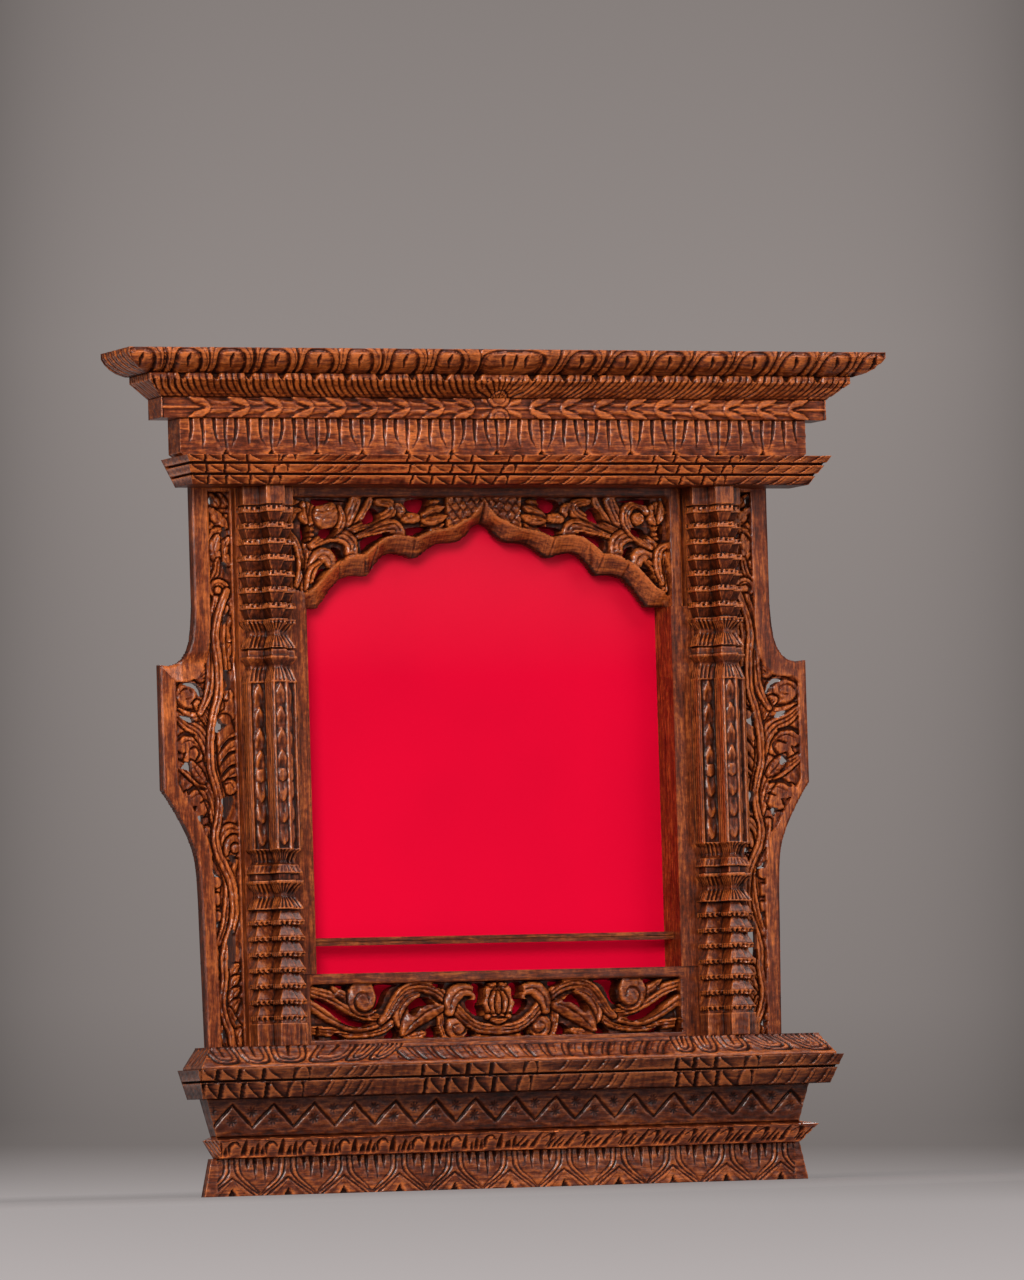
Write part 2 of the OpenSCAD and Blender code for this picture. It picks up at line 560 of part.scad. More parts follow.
frieze_hw = base_hw - 13.5;
module frieze_board() color(wood_dark) difference() {
  mitred([[z_frieze, frieze_hw - 6.3, yf - frieze_out + 2.4], [z_sd, frieze_hw, yf - frieze_out]], yf);
  // zigzag line across the front
  for (i = [-floor((frieze_hw - 10) / zig_pitch) : floor((frieze_hw - 10) / zig_pitch) - 1], s = [0, 1])
    translate([(i + 0.5) * zig_pitch, 0, 0]) mirror([s, 0, 0])
      along_y([[-zig_pitch / 2 - 0.9, z_sd - 4.5], [-zig_pitch / 2 + 0.9, z_sd - 4.5],
        [0.9, z_frieze + 5], [-0.9, z_frieze + 5]], yf - 20, yf - frieze_out + 2);
}

module gadroon_moulding() color(wood_warm)
  mitred([[z_gad, frieze_hw - 7.7, yf - gad_out + 14], [z_frieze - 2, frieze_hw - 1, yf - gad_out],
    [z_frieze, frieze_hw - 6.3, yf - frieze_out + 2.4]], yf);

lotus_hw = base_hw - 12.9;
module lotus_board() color(wood_warm) difference() {
  mitred([[0, lotus_hw, yf - lotus_out], [lotus_h, lotus_hw - 5, yf - lotus_out + 0.2]], yf);
  for (s = [0, 1], i = [0 : floor((lotus_hw - 12) / petal_pitch)]) mirror([s, 0, 0])
    translate([petal_pitch * i, yf - lotus_out, 0]) {
      // notch at the foot between two petals
      along_y([[-2.6, -1], [0, 3.6], [2.6, -1]], -2, 3.4);
      // three tapering flutes on a petal
      if ((i + 1) * petal_pitch < lotus_hw) for (k = [-1, 0, 1])
        translate([petal_pitch / 2 + k * petal_pitch * 0.19, 0, 0])
          along_y([[-0.9, lotus_h + 1], [0, 8 + 5 * abs(k)], [0.9, lotus_h + 1]], -1, 1.2);
    }
}

// picture pack

module satin_sheet() color(red)
  box([-pack_x, y_satin, pack_z0], [pack_x, y_card, pack_z1]);
module satin_card() color(grey_card)
  box([-pack_x, y_card, pack_z0], [pack_x, y_back, pack_z1]);
module backing_board() color(board_tan)
  box([-pack_x, y_back, pack_z0], [pack_x, y_back + backing_t, pack_z1]);

// turn buttons on the back, each on its own screw; they point inward when closed

module button(s, z) color(brass) translate([s * btn_x, yb + button_gap, z]) mirror([s > 0 ? 0 : 1, 0, 0])
  difference() {
    union() {
      translate([0, button_t, 0]) rotate([90, 0, 0]) cylinder(h = button_t, d = button_w);
      along_y([[0, button_w / 2], [0, -button_w / 2], [-button_l + button_w, -3.6],
        [-button_l + button_w, 3.6]], 0, button_t);
      translate([-button_l + button_w, button_t, 0]) rotate([90, 0, 0]) cylinder(h = button_t, d = 7.2);
    }
    translate([0, button_t + 1, 0]) rotate([90, 0, 0]) cylinder(h = button_t + 2, d = screw_d + pass_gap);
  }
module button_screw(s, z) color(steel) translate([s * btn_x, 0, z]) difference() {
  union() {
    rod_y(0, yb - 13, yb + 2 * button_gap + button_t + e, 0, screw_d);
    rod_y(0, yb + 2 * button_gap + button_t, yb + 2 * button_gap + button_t + head_h, 0, head_d);
  }
  box([-3, yb + 2 * button_gap + button_t + head_h - 0.8, -0.4], [3, yb + 9, 0.4]);
}
module button_low_left() button(-1, btn_z[0]);
module button_low_right() button(1, btn_z[0]);
module button_top_left() button(-1, btn_z[1]);
module button_top_right() button(1, btn_z[1]);
module screw_low_left() button_screw(-1, btn_z[0]);
module screw_low_right() button_screw(1, btn_z[0]);
module screw_top_left() button_screw(-1, btn_z[1]);
module screw_top_right() button_screw(1, btn_z[1]);

// hangers: a strap with a rolled tube at its foot, and a ring that swings in the tube

tube_d = ring_d + ring_gap + 2 * strap_t;
tube_y = yb + tube_d / 2;
module hanger(s) color(brass) translate([s * hang_x, 0, 0]) difference() {
  union() {
    box([-6, yb, hang_z], [6, yb + strap_t, hang_z + hang_l]);
    translate([0, tube_y, hang_z]) rotate([0, 90, 0]) cylinder(h = 12, d = tube_d, center = true);
  }
  translate([0, tube_y, hang_z]) rotate([0, 90, 0])
    cylinder(h = 14, d = ring_d + ring_gap, center = true);
  for (h = hang_hole) rod_y(0, yb - 1, yb + 4, hang_z + h, screw_d + pass_gap);
}
module ring(s) color(brass) translate([s * hang_x, tube_y, hang_z]) union() {
  rotate([0, 90, 0]) cylinder(h = ring_w + ring_d, d = ring_d, center = true);
  for (k = [-1, 1]) translate([k * (ring_w + ring_d) / 2, 0, -4]) cylinder(h = 4, d = ring_d);
  for (k = [-1, 1]) translate([k * (ring_w + ring_d) / 2, 0, 0]) sphere(d = ring_d);
  translate([0, 0, -4]) rotate([90, 0, 0]) rotate([0, 0, 180]) rotate_extrude(angle = 180)
    translate([(ring_w + ring_d) / 2, 0]) circle(d = ring_d);
}
module hanger_screw(s, k) color(steel) translate([s * hang_x, 0, hang_z + hang_hole[k]]) difference() {
  union() {
    rod_y(0, yb - 9, yb + strap_t + e, 0, screw_d);
    rod_y(0, yb + strap_t, yb + strap_t + head_h, 0, head_d - 0.6);
  }
  box([-3, yb + strap_t + head_h - 0.7, -0.35], [3, yb + 9, 0.35]);
}
module hanger_left() hanger(-1);
module hanger_right() hanger(1);
module ring_left() ring(-1);
module ring_right() ring(1);
module hanger_screw_left_1() hanger_screw(-1, 0);
module hanger_screw_left_2() hanger_screw(-1, 1);
module hanger_screw_right_1() hanger_screw(1, 0);
module hanger_screw_right_2() hanger_screw(1, 1);

left_stile();
right_stile();
top_rail();
bottom_rail();
arch_panel();
lower_panel();
picture_slat();
left_column();
right_column();
left_wing();
right_wing();
crown_board();
cyma_board();
chain_board();
tongue_board();
upper_dentil_board();
sill_leaf_board();
sill_dentil_board();
frieze_board();
gadroon_moulding();
lotus_board();
satin_sheet();
satin_card();
backing_board();
button_low_left();
button_low_right();
button_top_left();
button_top_right();
screw_low_left();
screw_low_right();
screw_top_left();
screw_top_right();
hanger_left();
hanger_right();
ring_left();
ring_right();
hanger_screw_left_1();
hanger_screw_left_2();
hanger_screw_right_1();
hanger_screw_right_2();
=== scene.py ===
import math

import bmesh
import bpy
import numpy as np
from mathutils import Matrix, Vector


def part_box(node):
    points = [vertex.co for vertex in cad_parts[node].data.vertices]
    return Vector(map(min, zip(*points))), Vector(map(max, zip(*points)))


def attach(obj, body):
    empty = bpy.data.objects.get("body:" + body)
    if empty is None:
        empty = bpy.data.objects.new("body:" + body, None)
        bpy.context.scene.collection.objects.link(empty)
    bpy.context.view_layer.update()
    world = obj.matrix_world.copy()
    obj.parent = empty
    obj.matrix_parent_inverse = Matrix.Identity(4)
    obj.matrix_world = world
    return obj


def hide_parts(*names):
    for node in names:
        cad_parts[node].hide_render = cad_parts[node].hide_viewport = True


bl_info = {
    "name": "Carved Picture Frame",
    "version": (1, 0, 0),
    "blender": (4, 5, 0),
    "location": "3D View > Sidebar > Carved Frame",
    "description": "Carves and finishes the boards, columns, panels and wings of a wooden picture frame",
    "category": "Object",
}

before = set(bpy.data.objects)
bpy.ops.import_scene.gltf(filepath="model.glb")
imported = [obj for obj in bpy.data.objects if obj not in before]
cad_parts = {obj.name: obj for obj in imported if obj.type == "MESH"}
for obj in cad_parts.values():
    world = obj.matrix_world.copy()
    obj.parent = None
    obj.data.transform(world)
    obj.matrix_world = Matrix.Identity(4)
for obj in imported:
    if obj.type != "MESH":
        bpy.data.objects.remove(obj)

MM = 0.001

# lower edges of the boards of the base and of the cornice, in millimetres above the floor
Z_GAD, Z_FRIEZE, Z_SD, Z_SL, Z_SILL = 22.6, 35.5, 58.0, 75.4, 88.5
Z_DENTIL, Z_FLUTE, Z_CHAIN, Z_CYMA, Z_CROWN, Z_TOP = 422.3, 438.8, 462.5, 474.8, 488.0, 502.0
WALL = -17.0  # front face of the stiles and rails, as y in millimetres
BORDER_FRONT, LEAF_FRONT, WING_FRONT = WALL + 1, WALL + 3.5, -11
LAP_HALF, LAP_BACK, PANEL_BACK, WING_BACK = 118.6, -8.0, 1.0, -4.0
COLUMN_X, STILE_OUT = 146.5, 163.2

# the camera, in pixels of the picture
PICTURE_WIDTH, PICTURE_HEIGHT, PHOTO_FOCAL = 1024, 1280, 9047.1477
SENSOR = 36.0
# a gradient of painted light for the backdrop, in round tones: the share of the picture's height from its
# top, the tone in per cent and the tint, at the wall's top, its lightest part, its foot, the painted shadow
# there, and the two ends of the floor
WALL_TINT, FLOOR_TINT = (1.0, 0.885, 0.845), (1.0, 0.915, 0.905)
BACKDROP = ((0.0, 24.0, WALL_TINT), (0.27, 28.5, WALL_TINT), (0.78, 23.5, WALL_TINT),
            (0.895, 18.5, WALL_TINT), (0.94, 38.0, FLOOR_TINT), (1.0, 45.5, FLOOR_TINT))


# ---- sizes and colours that a user would change ----


class CarvingSizes(bpy.types.PropertyGroup):
    board_cell: bpy.props.FloatProperty(
        name="Board cell", description="Distance between two carved points of a board",
        default=0.0007, min=0.0004, unit="LENGTH", subtype="DISTANCE")
    column_cell: bpy.props.FloatProperty(
        name="Column cell", description="Distance between two carved points of a column",
        default=0.0007, min=0.0004, unit="LENGTH", subtype="DISTANCE")
    panel_cell: bpy.props.FloatProperty(
        name="Panel cell", description="Distance between two carved points of the arch and the lower panel",
        default=0.00066, min=0.0004, unit="LENGTH", subtype="DISTANCE")
    wing_cell: bpy.props.FloatProperty(
        name="Wing cell", description="Distance between two carved points of a side wing",
        default=0.00054, min=0.0004, unit="LENGTH", subtype="DISTANCE")
    panel_ground: bpy.props.FloatProperty(
        name="Panel ground", description="How deep the ground lies behind the highest leaves of a panel",
        default=0.0052, min=0.001, unit="LENGTH", subtype="DISTANCE")
    wing_ground: bpy.props.FloatProperty(
        name="Wing ground", description="How deep the ground lies behind the highest leaves of a wing",
        default=0.0034, min=0.001, unit="LENGTH", subtype="DISTANCE")


class FinishColours(bpy.types.PropertyGroup):
    # the stain in the hollows also colours painted shade, and the rubbed wood colours painted highlights
    wood_dark: bpy.props.FloatVectorProperty(
        name="Stain in the hollows", description="Colour of the wood in the deep cuts",
        default=(0.022, 0.0040, 0.0012), size=3, min=0, max=1, subtype="COLOR")
    wood_mid: bpy.props.FloatVectorProperty(
        name="Stained wood", description="Colour of the level wood",
        default=(0.148, 0.0250, 0.0054), size=3, min=0, max=1, subtype="COLOR")
    wood_rubbed: bpy.props.FloatVectorProperty(
        name="Rubbed wood", description="Colour of the wood where the stain is rubbed thin",
        default=(0.42, 0.101, 0.0195), size=3, min=0, max=1, subtype="COLOR")
    satin_red: bpy.props.FloatVectorProperty(
        name="Satin", description="Colour of the sheet behind the opening",
        default=(0.775, 0.0006, 0.029), size=3, min=0, max=1, subtype="COLOR")
    floor: bpy.props.FloatVectorProperty(
        name="Floor", description="Colour of the floor and the backdrop",
        default=(0.385, 0.355, 0.352), size=3, min=0, max=1, subtype="COLOR")


# ---- shader nodes ----


class Value:
    """A number that changes over a surface, with the signs of arithmetic for its Math nodes."""

    def __init__(self, paint, socket):
        self.paint, self.socket = paint, socket

    def _math(self, operation, *operands):
        return Value(self.paint, self.paint.node(
            "ShaderNodeMath", {"operation": operation}, dict(enumerate(operands))).outputs[0])

    def __add__(self, other):
        return self._math("ADD", self, other)

    def __radd__(self, other):
        return self._math("ADD", other, self)

    def __sub__(self, other):
        return self._math("SUBTRACT", self, other)

    def __rsub__(self, other):
        return self._math("SUBTRACT", other, self)

    def __mul__(self, other):
        return self._math("MULTIPLY", self, other)

    def __rmul__(self, other):
        return self._math("MULTIPLY", other, self)

    def __truediv__(self, other):
        return self._math("DIVIDE", self, other)

    def clamp(self):
        return Value(self.paint, self.paint.node("ShaderNodeClamp", {}, {"Value": self}).outputs[0])


class Paint:
    """One material and the nodes in it."""

    def __init__(self, name):
        self.material = bpy.data.materials.new(name)
        self.material.use_nodes = True
        self.tree = self.material.node_tree
        self.tree.nodes.clear()
        self.shader = self.node("ShaderNodeBsdfPrincipled")
        self.surface = self.node("ShaderNodeOutputMaterial").inputs["Surface"]
        self.tree.links.new(self.shader.outputs[0], self.surface)
        self.place = self.node("ShaderNodeTexCoord").outputs["Object"]

    def node(self, kind, settings=None, sockets=None):
        made = self.tree.nodes.new(kind)
        for key, value in (settings or {}).items():
            if key == "stops":
                ramp = made.color_ramp
                while len(ramp.elements) < len(value):
                    ramp.elements.new(1.0)
                for element, (at, colour) in zip(ramp.elements, value):
                    element.position, element.color = at, (*colour, 1.0)
            else:
                setattr(made, key, value)
        self.set(made, sockets or {})
        return made

    def set(self, made, sockets):
        for key, value in sockets.items():
            socket = made.inputs[key]
            if isinstance(value, Value):
                value = value.socket
            if isinstance(value, bpy.types.NodeSocket):
                self.tree.links.new(value, socket)
            elif socket.type == "RGBA" and len(value) == 3:
                socket.default_value = (*value, 1.0)
            else:
                socket.default_value = value

    def noise(self, scale, detail=3.0, rough=0.5, stretch=(1, 1, 1), distortion=0.0):
        at = self.node("ShaderNodeMapping", {}, {"Vector": self.place, "Scale": stretch}).outputs[0]
        made = self.node("ShaderNodeTexNoise", {"noise_dimensions": "3D"}, {
            "Vector": at, "Scale": scale, "Detail": detail, "Roughness": rough, "Distortion": distortion})
        return Value(self, made.outputs["Fac"])

    def spread(self, value, low, high, to_low=0.0, to_high=1.0):
        return Value(self, self.node("ShaderNodeMapRange", {"clamp": True}, {
            "Value": value, "From Min": low, "From Max": high, "To Min": to_low,
            "To Max": to_high}).outputs[0])

    def mix(self, amount, one, other):
        return self.node("ShaderNodeMix", {"data_type": "RGBA", "blend_type": "MIX"}, {
            0: amount, 6: one, 7: other}).outputs[2]

    def ramp(self, amount, stops):
        return self.node("ShaderNodeValToRGB", {"stops": stops}, {"Fac": amount}).outputs[0]

    def split(self, vector):
        return (Value(self, part) for part in self.node("ShaderNodeSeparateXYZ", {}, {0: vector}).outputs)

    def attribute(self, name):
        return Value(self, self.node("ShaderNodeAttribute", {"attribute_name": name}).outputs["Fac"])

    def bump(self, height, strength, distance):
        return self.node("ShaderNodeBump", {}, {
            "Height": height, "Strength": strength, "Distance": distance}).outputs[0]

    def finish(self, **sockets):
        self.set(self.shader, {key.replace("_", " "): value for key, value in sockets.items()})
        return self.material


def stained_wood(name, along, rubbed=True, tone=1.0, gloss=0.40, shine=0.34):
    """Carved and stained wood: dark in the cuts, orange where it is rubbed, darker where shade is painted and
    lighter where highlights are painted, with its grain along one axis.
    """
    colours = bpy.context.scene.finish_colours
    paint = Paint(name)
    fibre, ribbon = ((long, 1, 1) if along == "x" else (1, 1, long) for long in (0.10, 0.05))
    streak = paint.noise(620.0, 4.0, 0.66, fibre)
    pore = paint.noise(2300.0, 2.0, 0.5, fibre)
    band = paint.noise(170.0, 3.0, 0.55, ribbon, 0.4)
    patch = paint.noise(26.0, 3.0, 0.6)
    mottle = paint.noise(300.0, 4.0, 0.66)
    # above 0 where hands rub the wood and where highlights are painted, below 0 in the cuts and where shade
    # is painted
    rubbed_and_painted_light = paint.attribute("wear") if rubbed else 0.0
    level = 0.46 + rubbed_and_painted_light * 0.52 + (patch - 0.5) * 0.62 + (band - 0.5) * 0.66 + (mottle - 0.5) * 0.80
    level = (level + (streak - 0.5) * 1.5).clamp()
    colour = paint.ramp(level, [
        (0.0, [c * tone for c in colours.wood_dark]),
        (0.20, [c * tone * 0.40 for c in colours.wood_mid]),
        (0.48, [c * tone for c in colours.wood_mid]),
        (0.84, [min(1.0, c * tone) for c in colours.wood_rubbed]),
        (1.0, [min(1.0, c * tone * 1.35) for c in colours.wood_rubbed])])
    dark_pore = paint.spread(pore, 0.56, 0.68)
    colour = paint.mix(dark_pore * 0.6, colour, [c * 0.5 for c in colours.wood_dark])
    rough = (gloss + (mottle - 0.5) * 0.30 + (streak - 0.5) * 0.22 - rubbed_and_painted_light * 0.16).clamp()
    varnish = (shine + rubbed_and_painted_light * 0.60 + (patch - 0.5) * 1.0).clamp()
    tool = paint.noise(330.0, 2.0, 0.5)
    height = streak * 0.35 + tool * 0.8 - dark_pore * 0.5
    return paint.finish(Base_Color=colour, Roughness=rough, Specular_IOR_Level=0.12, Coat_Weight=varnish,
                        Coat_Roughness=0.26, Coat_IOR=1.45, Normal=paint.bump(height, 0.6, 0.0004))


def red_satin():
    """Satin: fine crossed threads, painted shade in broad patches of slack, painted light that makes it
    lighter low down, and glossier at the top.
    """
    colours = bpy.context.scene.finish_colours
    paint = Paint("red_satin")
    slack = paint.noise(9.0, 2.0, 0.5)
    warp = paint.noise(5200.0, 1.0, 0.5, (1, 1, 0.08))
    weft = paint.noise(5200.0, 1.0, 0.5, (0.08, 1, 1))
    red = Vector(colours.satin_red)
    # painted shade: darker in broad patches of slack
    colour = paint.mix(paint.spread(slack, 0.3, 0.7), list(red * 0.93), list(red * 1.04))
    thread = warp * 0.5 + weft * 0.5
    colour = paint.mix(paint.spread(thread, 0.35, 0.65) * 0.10, colour, list(red * 0.6))
    high = list(paint.split(paint.place))[2]
    # painted light: lighter low down, where the slat and the sill shade the satin
    colour = paint.mix(paint.spread(high, 0.13, 0.24, 0.6, 0.0), colour, list(red * 1.2))
    sheen = paint.spread(high, 0.31, 0.39, 0.0, 0.4)
    return paint.finish(Base_Color=colour, Roughness=paint.spread(thread, 0.3, 0.7, 0.50, 0.62),
                        Coat_Weight=sheen, Coat_Roughness=0.55, Coat_IOR=1.5,
                        Specular_IOR_Level=0.04, Normal=paint.bump(thread, 0.25, 0.00006))


def grey_card():
    """Pulp card with a faint cloud in its colour."""
    paint = Paint("grey_card")
    pulp = paint.noise(900.0, 3.0, 0.6)
    cloud = paint.noise(40.0, 2.0, 0.5)
    colour = paint.mix(paint.spread(pulp + cloud, 0.7, 1.3), (0.24, 0.20, 0.155), (0.34, 0.29, 0.23))
    return paint.finish(Base_Color=colour, Roughness=0.85, Normal=paint.bump(pulp, 0.3, 0.0001))


def backing_panel():
    """Thin plywood: pale brown, with long grain along its height."""
    paint = Paint("backing_ply")
    grain = paint.noise(90.0, 4.0, 0.6, (1, 1, 0.06), 1.2)
    fine = paint.noise(1500.0, 2.0, 0.5, (1, 1, 0.05))
    cloud = paint.noise(18.0, 2.0, 0.5)
    colour = paint.mix(paint.spread(grain, 0.35, 0.65), (0.40, 0.235, 0.125), (0.27, 0.145, 0.070))
    colour = paint.mix(paint.spread(fine, 0.55, 0.72) * 0.6, colour, (0.12, 0.055, 0.026))
    colour = paint.mix(paint.spread(cloud, 0.4, 0.75) * 0.35, colour, (0.20, 0.11, 0.055))
    return paint.finish(Base_Color=colour, Roughness=paint.spread(grain, 0.3, 0.7, 0.62, 0.78),
                        Normal=paint.bump(fine * 0.5 + grain * 0.5, 0.35, 0.00015))


def aged_metal(name, bright, dull, rough):
    """Brushed metal, dulled in patches."""
    paint = Paint(name)
    cloud = paint.noise(260.0, 3.0, 0.6)
    brush = paint.noise(2600.0, 2.0, 0.5, (1, 1, 0.15))
    stain = paint.spread(cloud, 0.42, 0.66)
    colour = paint.mix(stain, bright, dull)
    colour = paint.mix(paint.spread(brush, 0.5, 0.75) * 0.35, colour, [c * 0.6 for c in dull])
    uneven_rough = (rough + stain * 0.2 + (brush - 0.5) * 0.15).clamp()
    return paint.finish(Base_Color=colour, Metallic=1.0, Roughness=uneven_rough,
                        Normal=paint.bump(brush, 0.2, 0.00005))


def photo_view():
    """How the photograph was taken: the turn and the shift, in millimetres, from the frame to the lens."""
    yaw, pitch, roll = (Matrix.Rotation(math.radians(angle), 3, axis) for angle, axis in (
        (22.81792, "Z"), (-3.22588, "X"), (-1.68629, "Y")))
    turn = roll @ pitch @ yaw
    return turn, Vector((-12.1965, 5465.6356, -331.2183)) - turn @ Vector((0, 7, 0))


def pale_floor():
    """A floor and backdrop that glow with painted light: its written tones far off, and the lamps and shadows
    near the frame.
    """
    colours = bpy.context.scene.finish_colours
    paint = Paint("pale_floor")
    base = Vector(colours.floor)
    cloud = paint.noise(1.2, 2.0, 0.5)
    lit = paint.mix(paint.spread(cloud, 0.3, 0.7), list(base * 0.88), list(base * 0.92))
    paint.finish(Base_Color=lit, Roughness=0.9, Specular_IOR_Level=0.05)
    rays = paint.node("ShaderNodeLightPath").outputs
    seen = Value(paint, rays["Is Camera Ray"]) + Value(paint, rays["Is Glossy Ray"]) + \
        Value(paint, rays["Is Transmission Ray"])
    x, y, z = paint.split(paint.place)
    turn, shift = photo_view()
    aside, away, up = (x * row[0] + y * row[1] + z * row[2] + part * MM for row, part in zip(turn, shift))
    down = PICTURE_HEIGHT // 2 - up / away * PHOTO_FOCAL
    tones = paint.ramp(down * (1 / PICTURE_HEIGHT), [
        (at, list(Vector(tint) * (tone / 100))) for at, tone, tint in BACKDROP])
    # painted shade: the backdrop is darker to both sides, but the floor isn't
    edge = paint.spread(aside / away * (PHOTO_FOCAL / (PICTURE_WIDTH // 2)), -1.0, 1.0, -1.0, 1.0)
    edge = edge * edge
    edge = edge * edge * edge * (1 - paint.spread(down, 1120, 1200))
    tones = paint.mix(edge * 0.32, tones, (0.0, 0.0, 0.0))
    glow = paint.node("ShaderNodeEmission", {}, {"Color": tones, "Strength": 1.0}).outputs[0]
    near = 1 - paint.spread(x * x + y * y, 0.10, 1.1)
    both = paint.node("ShaderNodeMixShader", {}, {
        0: seen.clamp() * (1 - near * 0.45), 1: paint.shader.outputs[0], 2: glow})
    # from behind, the backdrop is see-through
    clear = paint.node("ShaderNodeBsdfTransparent").outputs[0]
    rear = paint.node("ShaderNodeNewGeometry").outputs["Backfacing"]
    both = paint.node("ShaderNodeMixShader", {}, {0: rear, 1: both.outputs[0], 2: clear})
    paint.tree.links.new(both.outputs[0], paint.surface)
    return paint.material


# ---- measuring on a face ----


def smooth(low, high, x):
    """0 below low, 1 above high, and a soft step between."""
    t = np.clip((x - low) / (high - low), 0, 1)
    return t * t * (3 - 2 * t)


def mound(d, width):
    """A rounded cut or ridge: 1 on the line, 0 from width on."""
    return np.clip(1 - (d / width) ** 2, 0, 1)


def vee(d, width):
    """A pointed cut: 1 on the line, 0 from width on."""
    return np.clip(1 - np.abs(d) / width, 0, 1)


def uneven(i, k=0.0):
    """A repeatable small unevenness for unit i, from -0.5 to 0.5. Its odd numbers only scatter the result."""
    return np.modf(np.abs(np.sin(np.asarray(i) * 12.9898 + k * 78.233 + 0.37) * 43758.5453))[0] - 0.5


def wander(x, z, k=0.0):
    """The slow wander of a hand-led tool, in millimetres."""
    return 0.30 * np.sin(x * 0.23 + 1.7 * k) * np.cos(z * 0.31 + k) \
        + 0.22 * np.sin(x * 0.071 + z * 0.19 + 2.3 * k)


def deepest(*cuts):
    """The deepest of several cuts at each point."""
    depth = cuts[0]
    for cut in cuts[1:]:
        depth = np.maximum(depth, cut)
    return depth


def near_box(x, z, points, reach):
    """Which points (x, z) lie in the box round some others, or no further out than reach."""
    low, high = points.min(0) - reach, points.max(0) + reach
    return (x > low[0]) & (x < high[0]) & (z > low[1]) & (z < high[1])


def nearest(x, centres):
    """How far x lies from the nearest of the centres, and which one that is."""
    c = np.asarray(centres, float)
    i = np.searchsorted((c[1:] + c[:-1]) / 2, x)
    return x - c[i], i


def curve(points, steps=5, closed=False):
    """A smooth line through given points."""
    p = np.asarray(points, float)
    if closed:
        four = np.roll(p, 1, 0), p, np.roll(p, -1, 0), np.roll(p, -2, 0)
    elif len(p) < 3:
        return p
    else:
        full = np.vstack([2 * p[0] - p[1], p, 2 * p[-1] - p[-2]])
        four = full[:-3], full[1:-2], full[2:-1], full[3:]
    t = (np.arange(steps) / steps)[None, :, None]
    a, b, c, d = (q[:, None, :] for q in four)
    out = 0.5 * (2 * b + (c - a) * t + (2 * a - 5 * b + 4 * c - d) * t * t + (3 * b - a - 3 * c + d) * t ** 3)
    out = out.reshape(-1, 2)
    return out if closed else np.vstack([out, p[-1]])


def along(x, z, points):
    """Signed distance from a line of points, left positive, and how far along it the foot lies, 0 to 1."""
    p = np.asarray(points, float)
    step = np.diff(p, axis=0)
    size = np.maximum(np.hypot(step[:, 0], step[:, 1]), 1e-9)
    start = np.concatenate([[0], np.cumsum(size)])
    best = np.full(x.shape, 1e9)
    side, s = np.ones(x.shape), np.zeros(x.shape)
    for k in range(len(step)):
        ax, az = x - p[k, 0], z - p[k, 1]
        t = np.clip((ax * step[k, 0] + az * step[k, 1]) / size[k] ** 2, 0, 1)
        d = np.hypot(ax - t * step[k, 0], az - t * step[k, 1])
        new = d < best
        best[new] = d[new]
        side[new] = np.where(step[k, 0] * az - step[k, 1] * ax >= 0, 1.0, -1.0)[new]
        s[new] = ((start[k] + t * size[k]) / start[-1])[new]
    return best * side, s


def tapered(width, s):
    """A width given once, or as a list from one end of a line to the other."""
    return np.interp(s, np.linspace(0, 1, len(width)), width) if np.ndim(width) else width


def groove(x, z, points, width, deep, pointed=False):
    """The depth of one cut along a line."""
    p = np.asarray(points, float)
    near = near_box(x, z, p, np.max(width) + 0.2)
    out = np.zeros(x.shape)
    if near.any():
        d, s = along(x[near], z[near], p)
        w = np.maximum(tapered(width, s), 0.05)
        out[near] = tapered(deep, s) * (vee(d, w) if pointed else mound(d, w))
    return out


def side_of(x, z, outline):
    """Signed distance from a closed outline, negative inside it."""
    p = np.asarray(outline, float)
    q = np.roll(p, -1, 0)
    best = np.full(x.shape, 1e9)
    inside = np.zeros(x.shape, bool)
    for (ax, az), (bx, bz) in zip(p, q):
        dx, dz = bx - ax, bz - az
        size = max(dx * dx + dz * dz, 1e-12)
        t = np.clip(((x - ax) * dx + (z - az) * dz) / size, 0, 1)
        best = np.minimum(best, np.hypot(x - ax - t * dx, z - az - t * dz))
        if az != bz:
            crosses = (az > z) != (bz > z)
            inside ^= crosses & (x < ax + (z - az) * dx / dz)
    return np.where(inside, -best, best)


def blurred(a, cells):
    """The mean of a grid's values over a square of cells round each point."""
    for axis in (0, 1):
        pad = [(0, 0)] * a.ndim
        pad[axis] = (cells + 1, cells)
        total = np.cumsum(np.pad(a, pad, mode="edge"), axis=axis)
        at, width = np.arange(a.shape[axis]), 2 * cells + 1
        a = (np.take(total, at + width, axis) - np.take(total, at, axis)) / width
    return a


def stands_out(depth, share, near, far):
    """How far a relief stands out of its surroundings, within near cells and more weakly within far ones."""
    return share * (blurred(depth, near) - depth) + 0.20 * (blurred(depth, far) - depth)


def rubbed_by(place, outward, depth, cells):
    """How far each point stands proud of its surroundings: above 0 where hands rub it, below in the cuts."""
    fine = np.sum((place - blurred(place, cells)) * outward, axis=-1)
    wide = np.sum((place - blurred(place, cells * 3)) * outward, axis=-1)
    sunk = depth - blurred(depth, cells * 2)
    return np.clip(0.9 * fine + 0.35 * wide - 0.35 * sunk, -1.0, 1.0)


# ---- making a mesh ----

FRONT = 1  # the number of a board's front face, between its two mitred ends
SKIM, RIPPLE = 0.12, 0.07  # what the last pass takes off everywhere, in millimetres, and how that varies
HOLLOW_WEAR = -0.4  # how little the back and the walls of a pierced plate are rubbed
SHARP = 0.95  # edges with a larger angle, in radians, are shaded as sharp


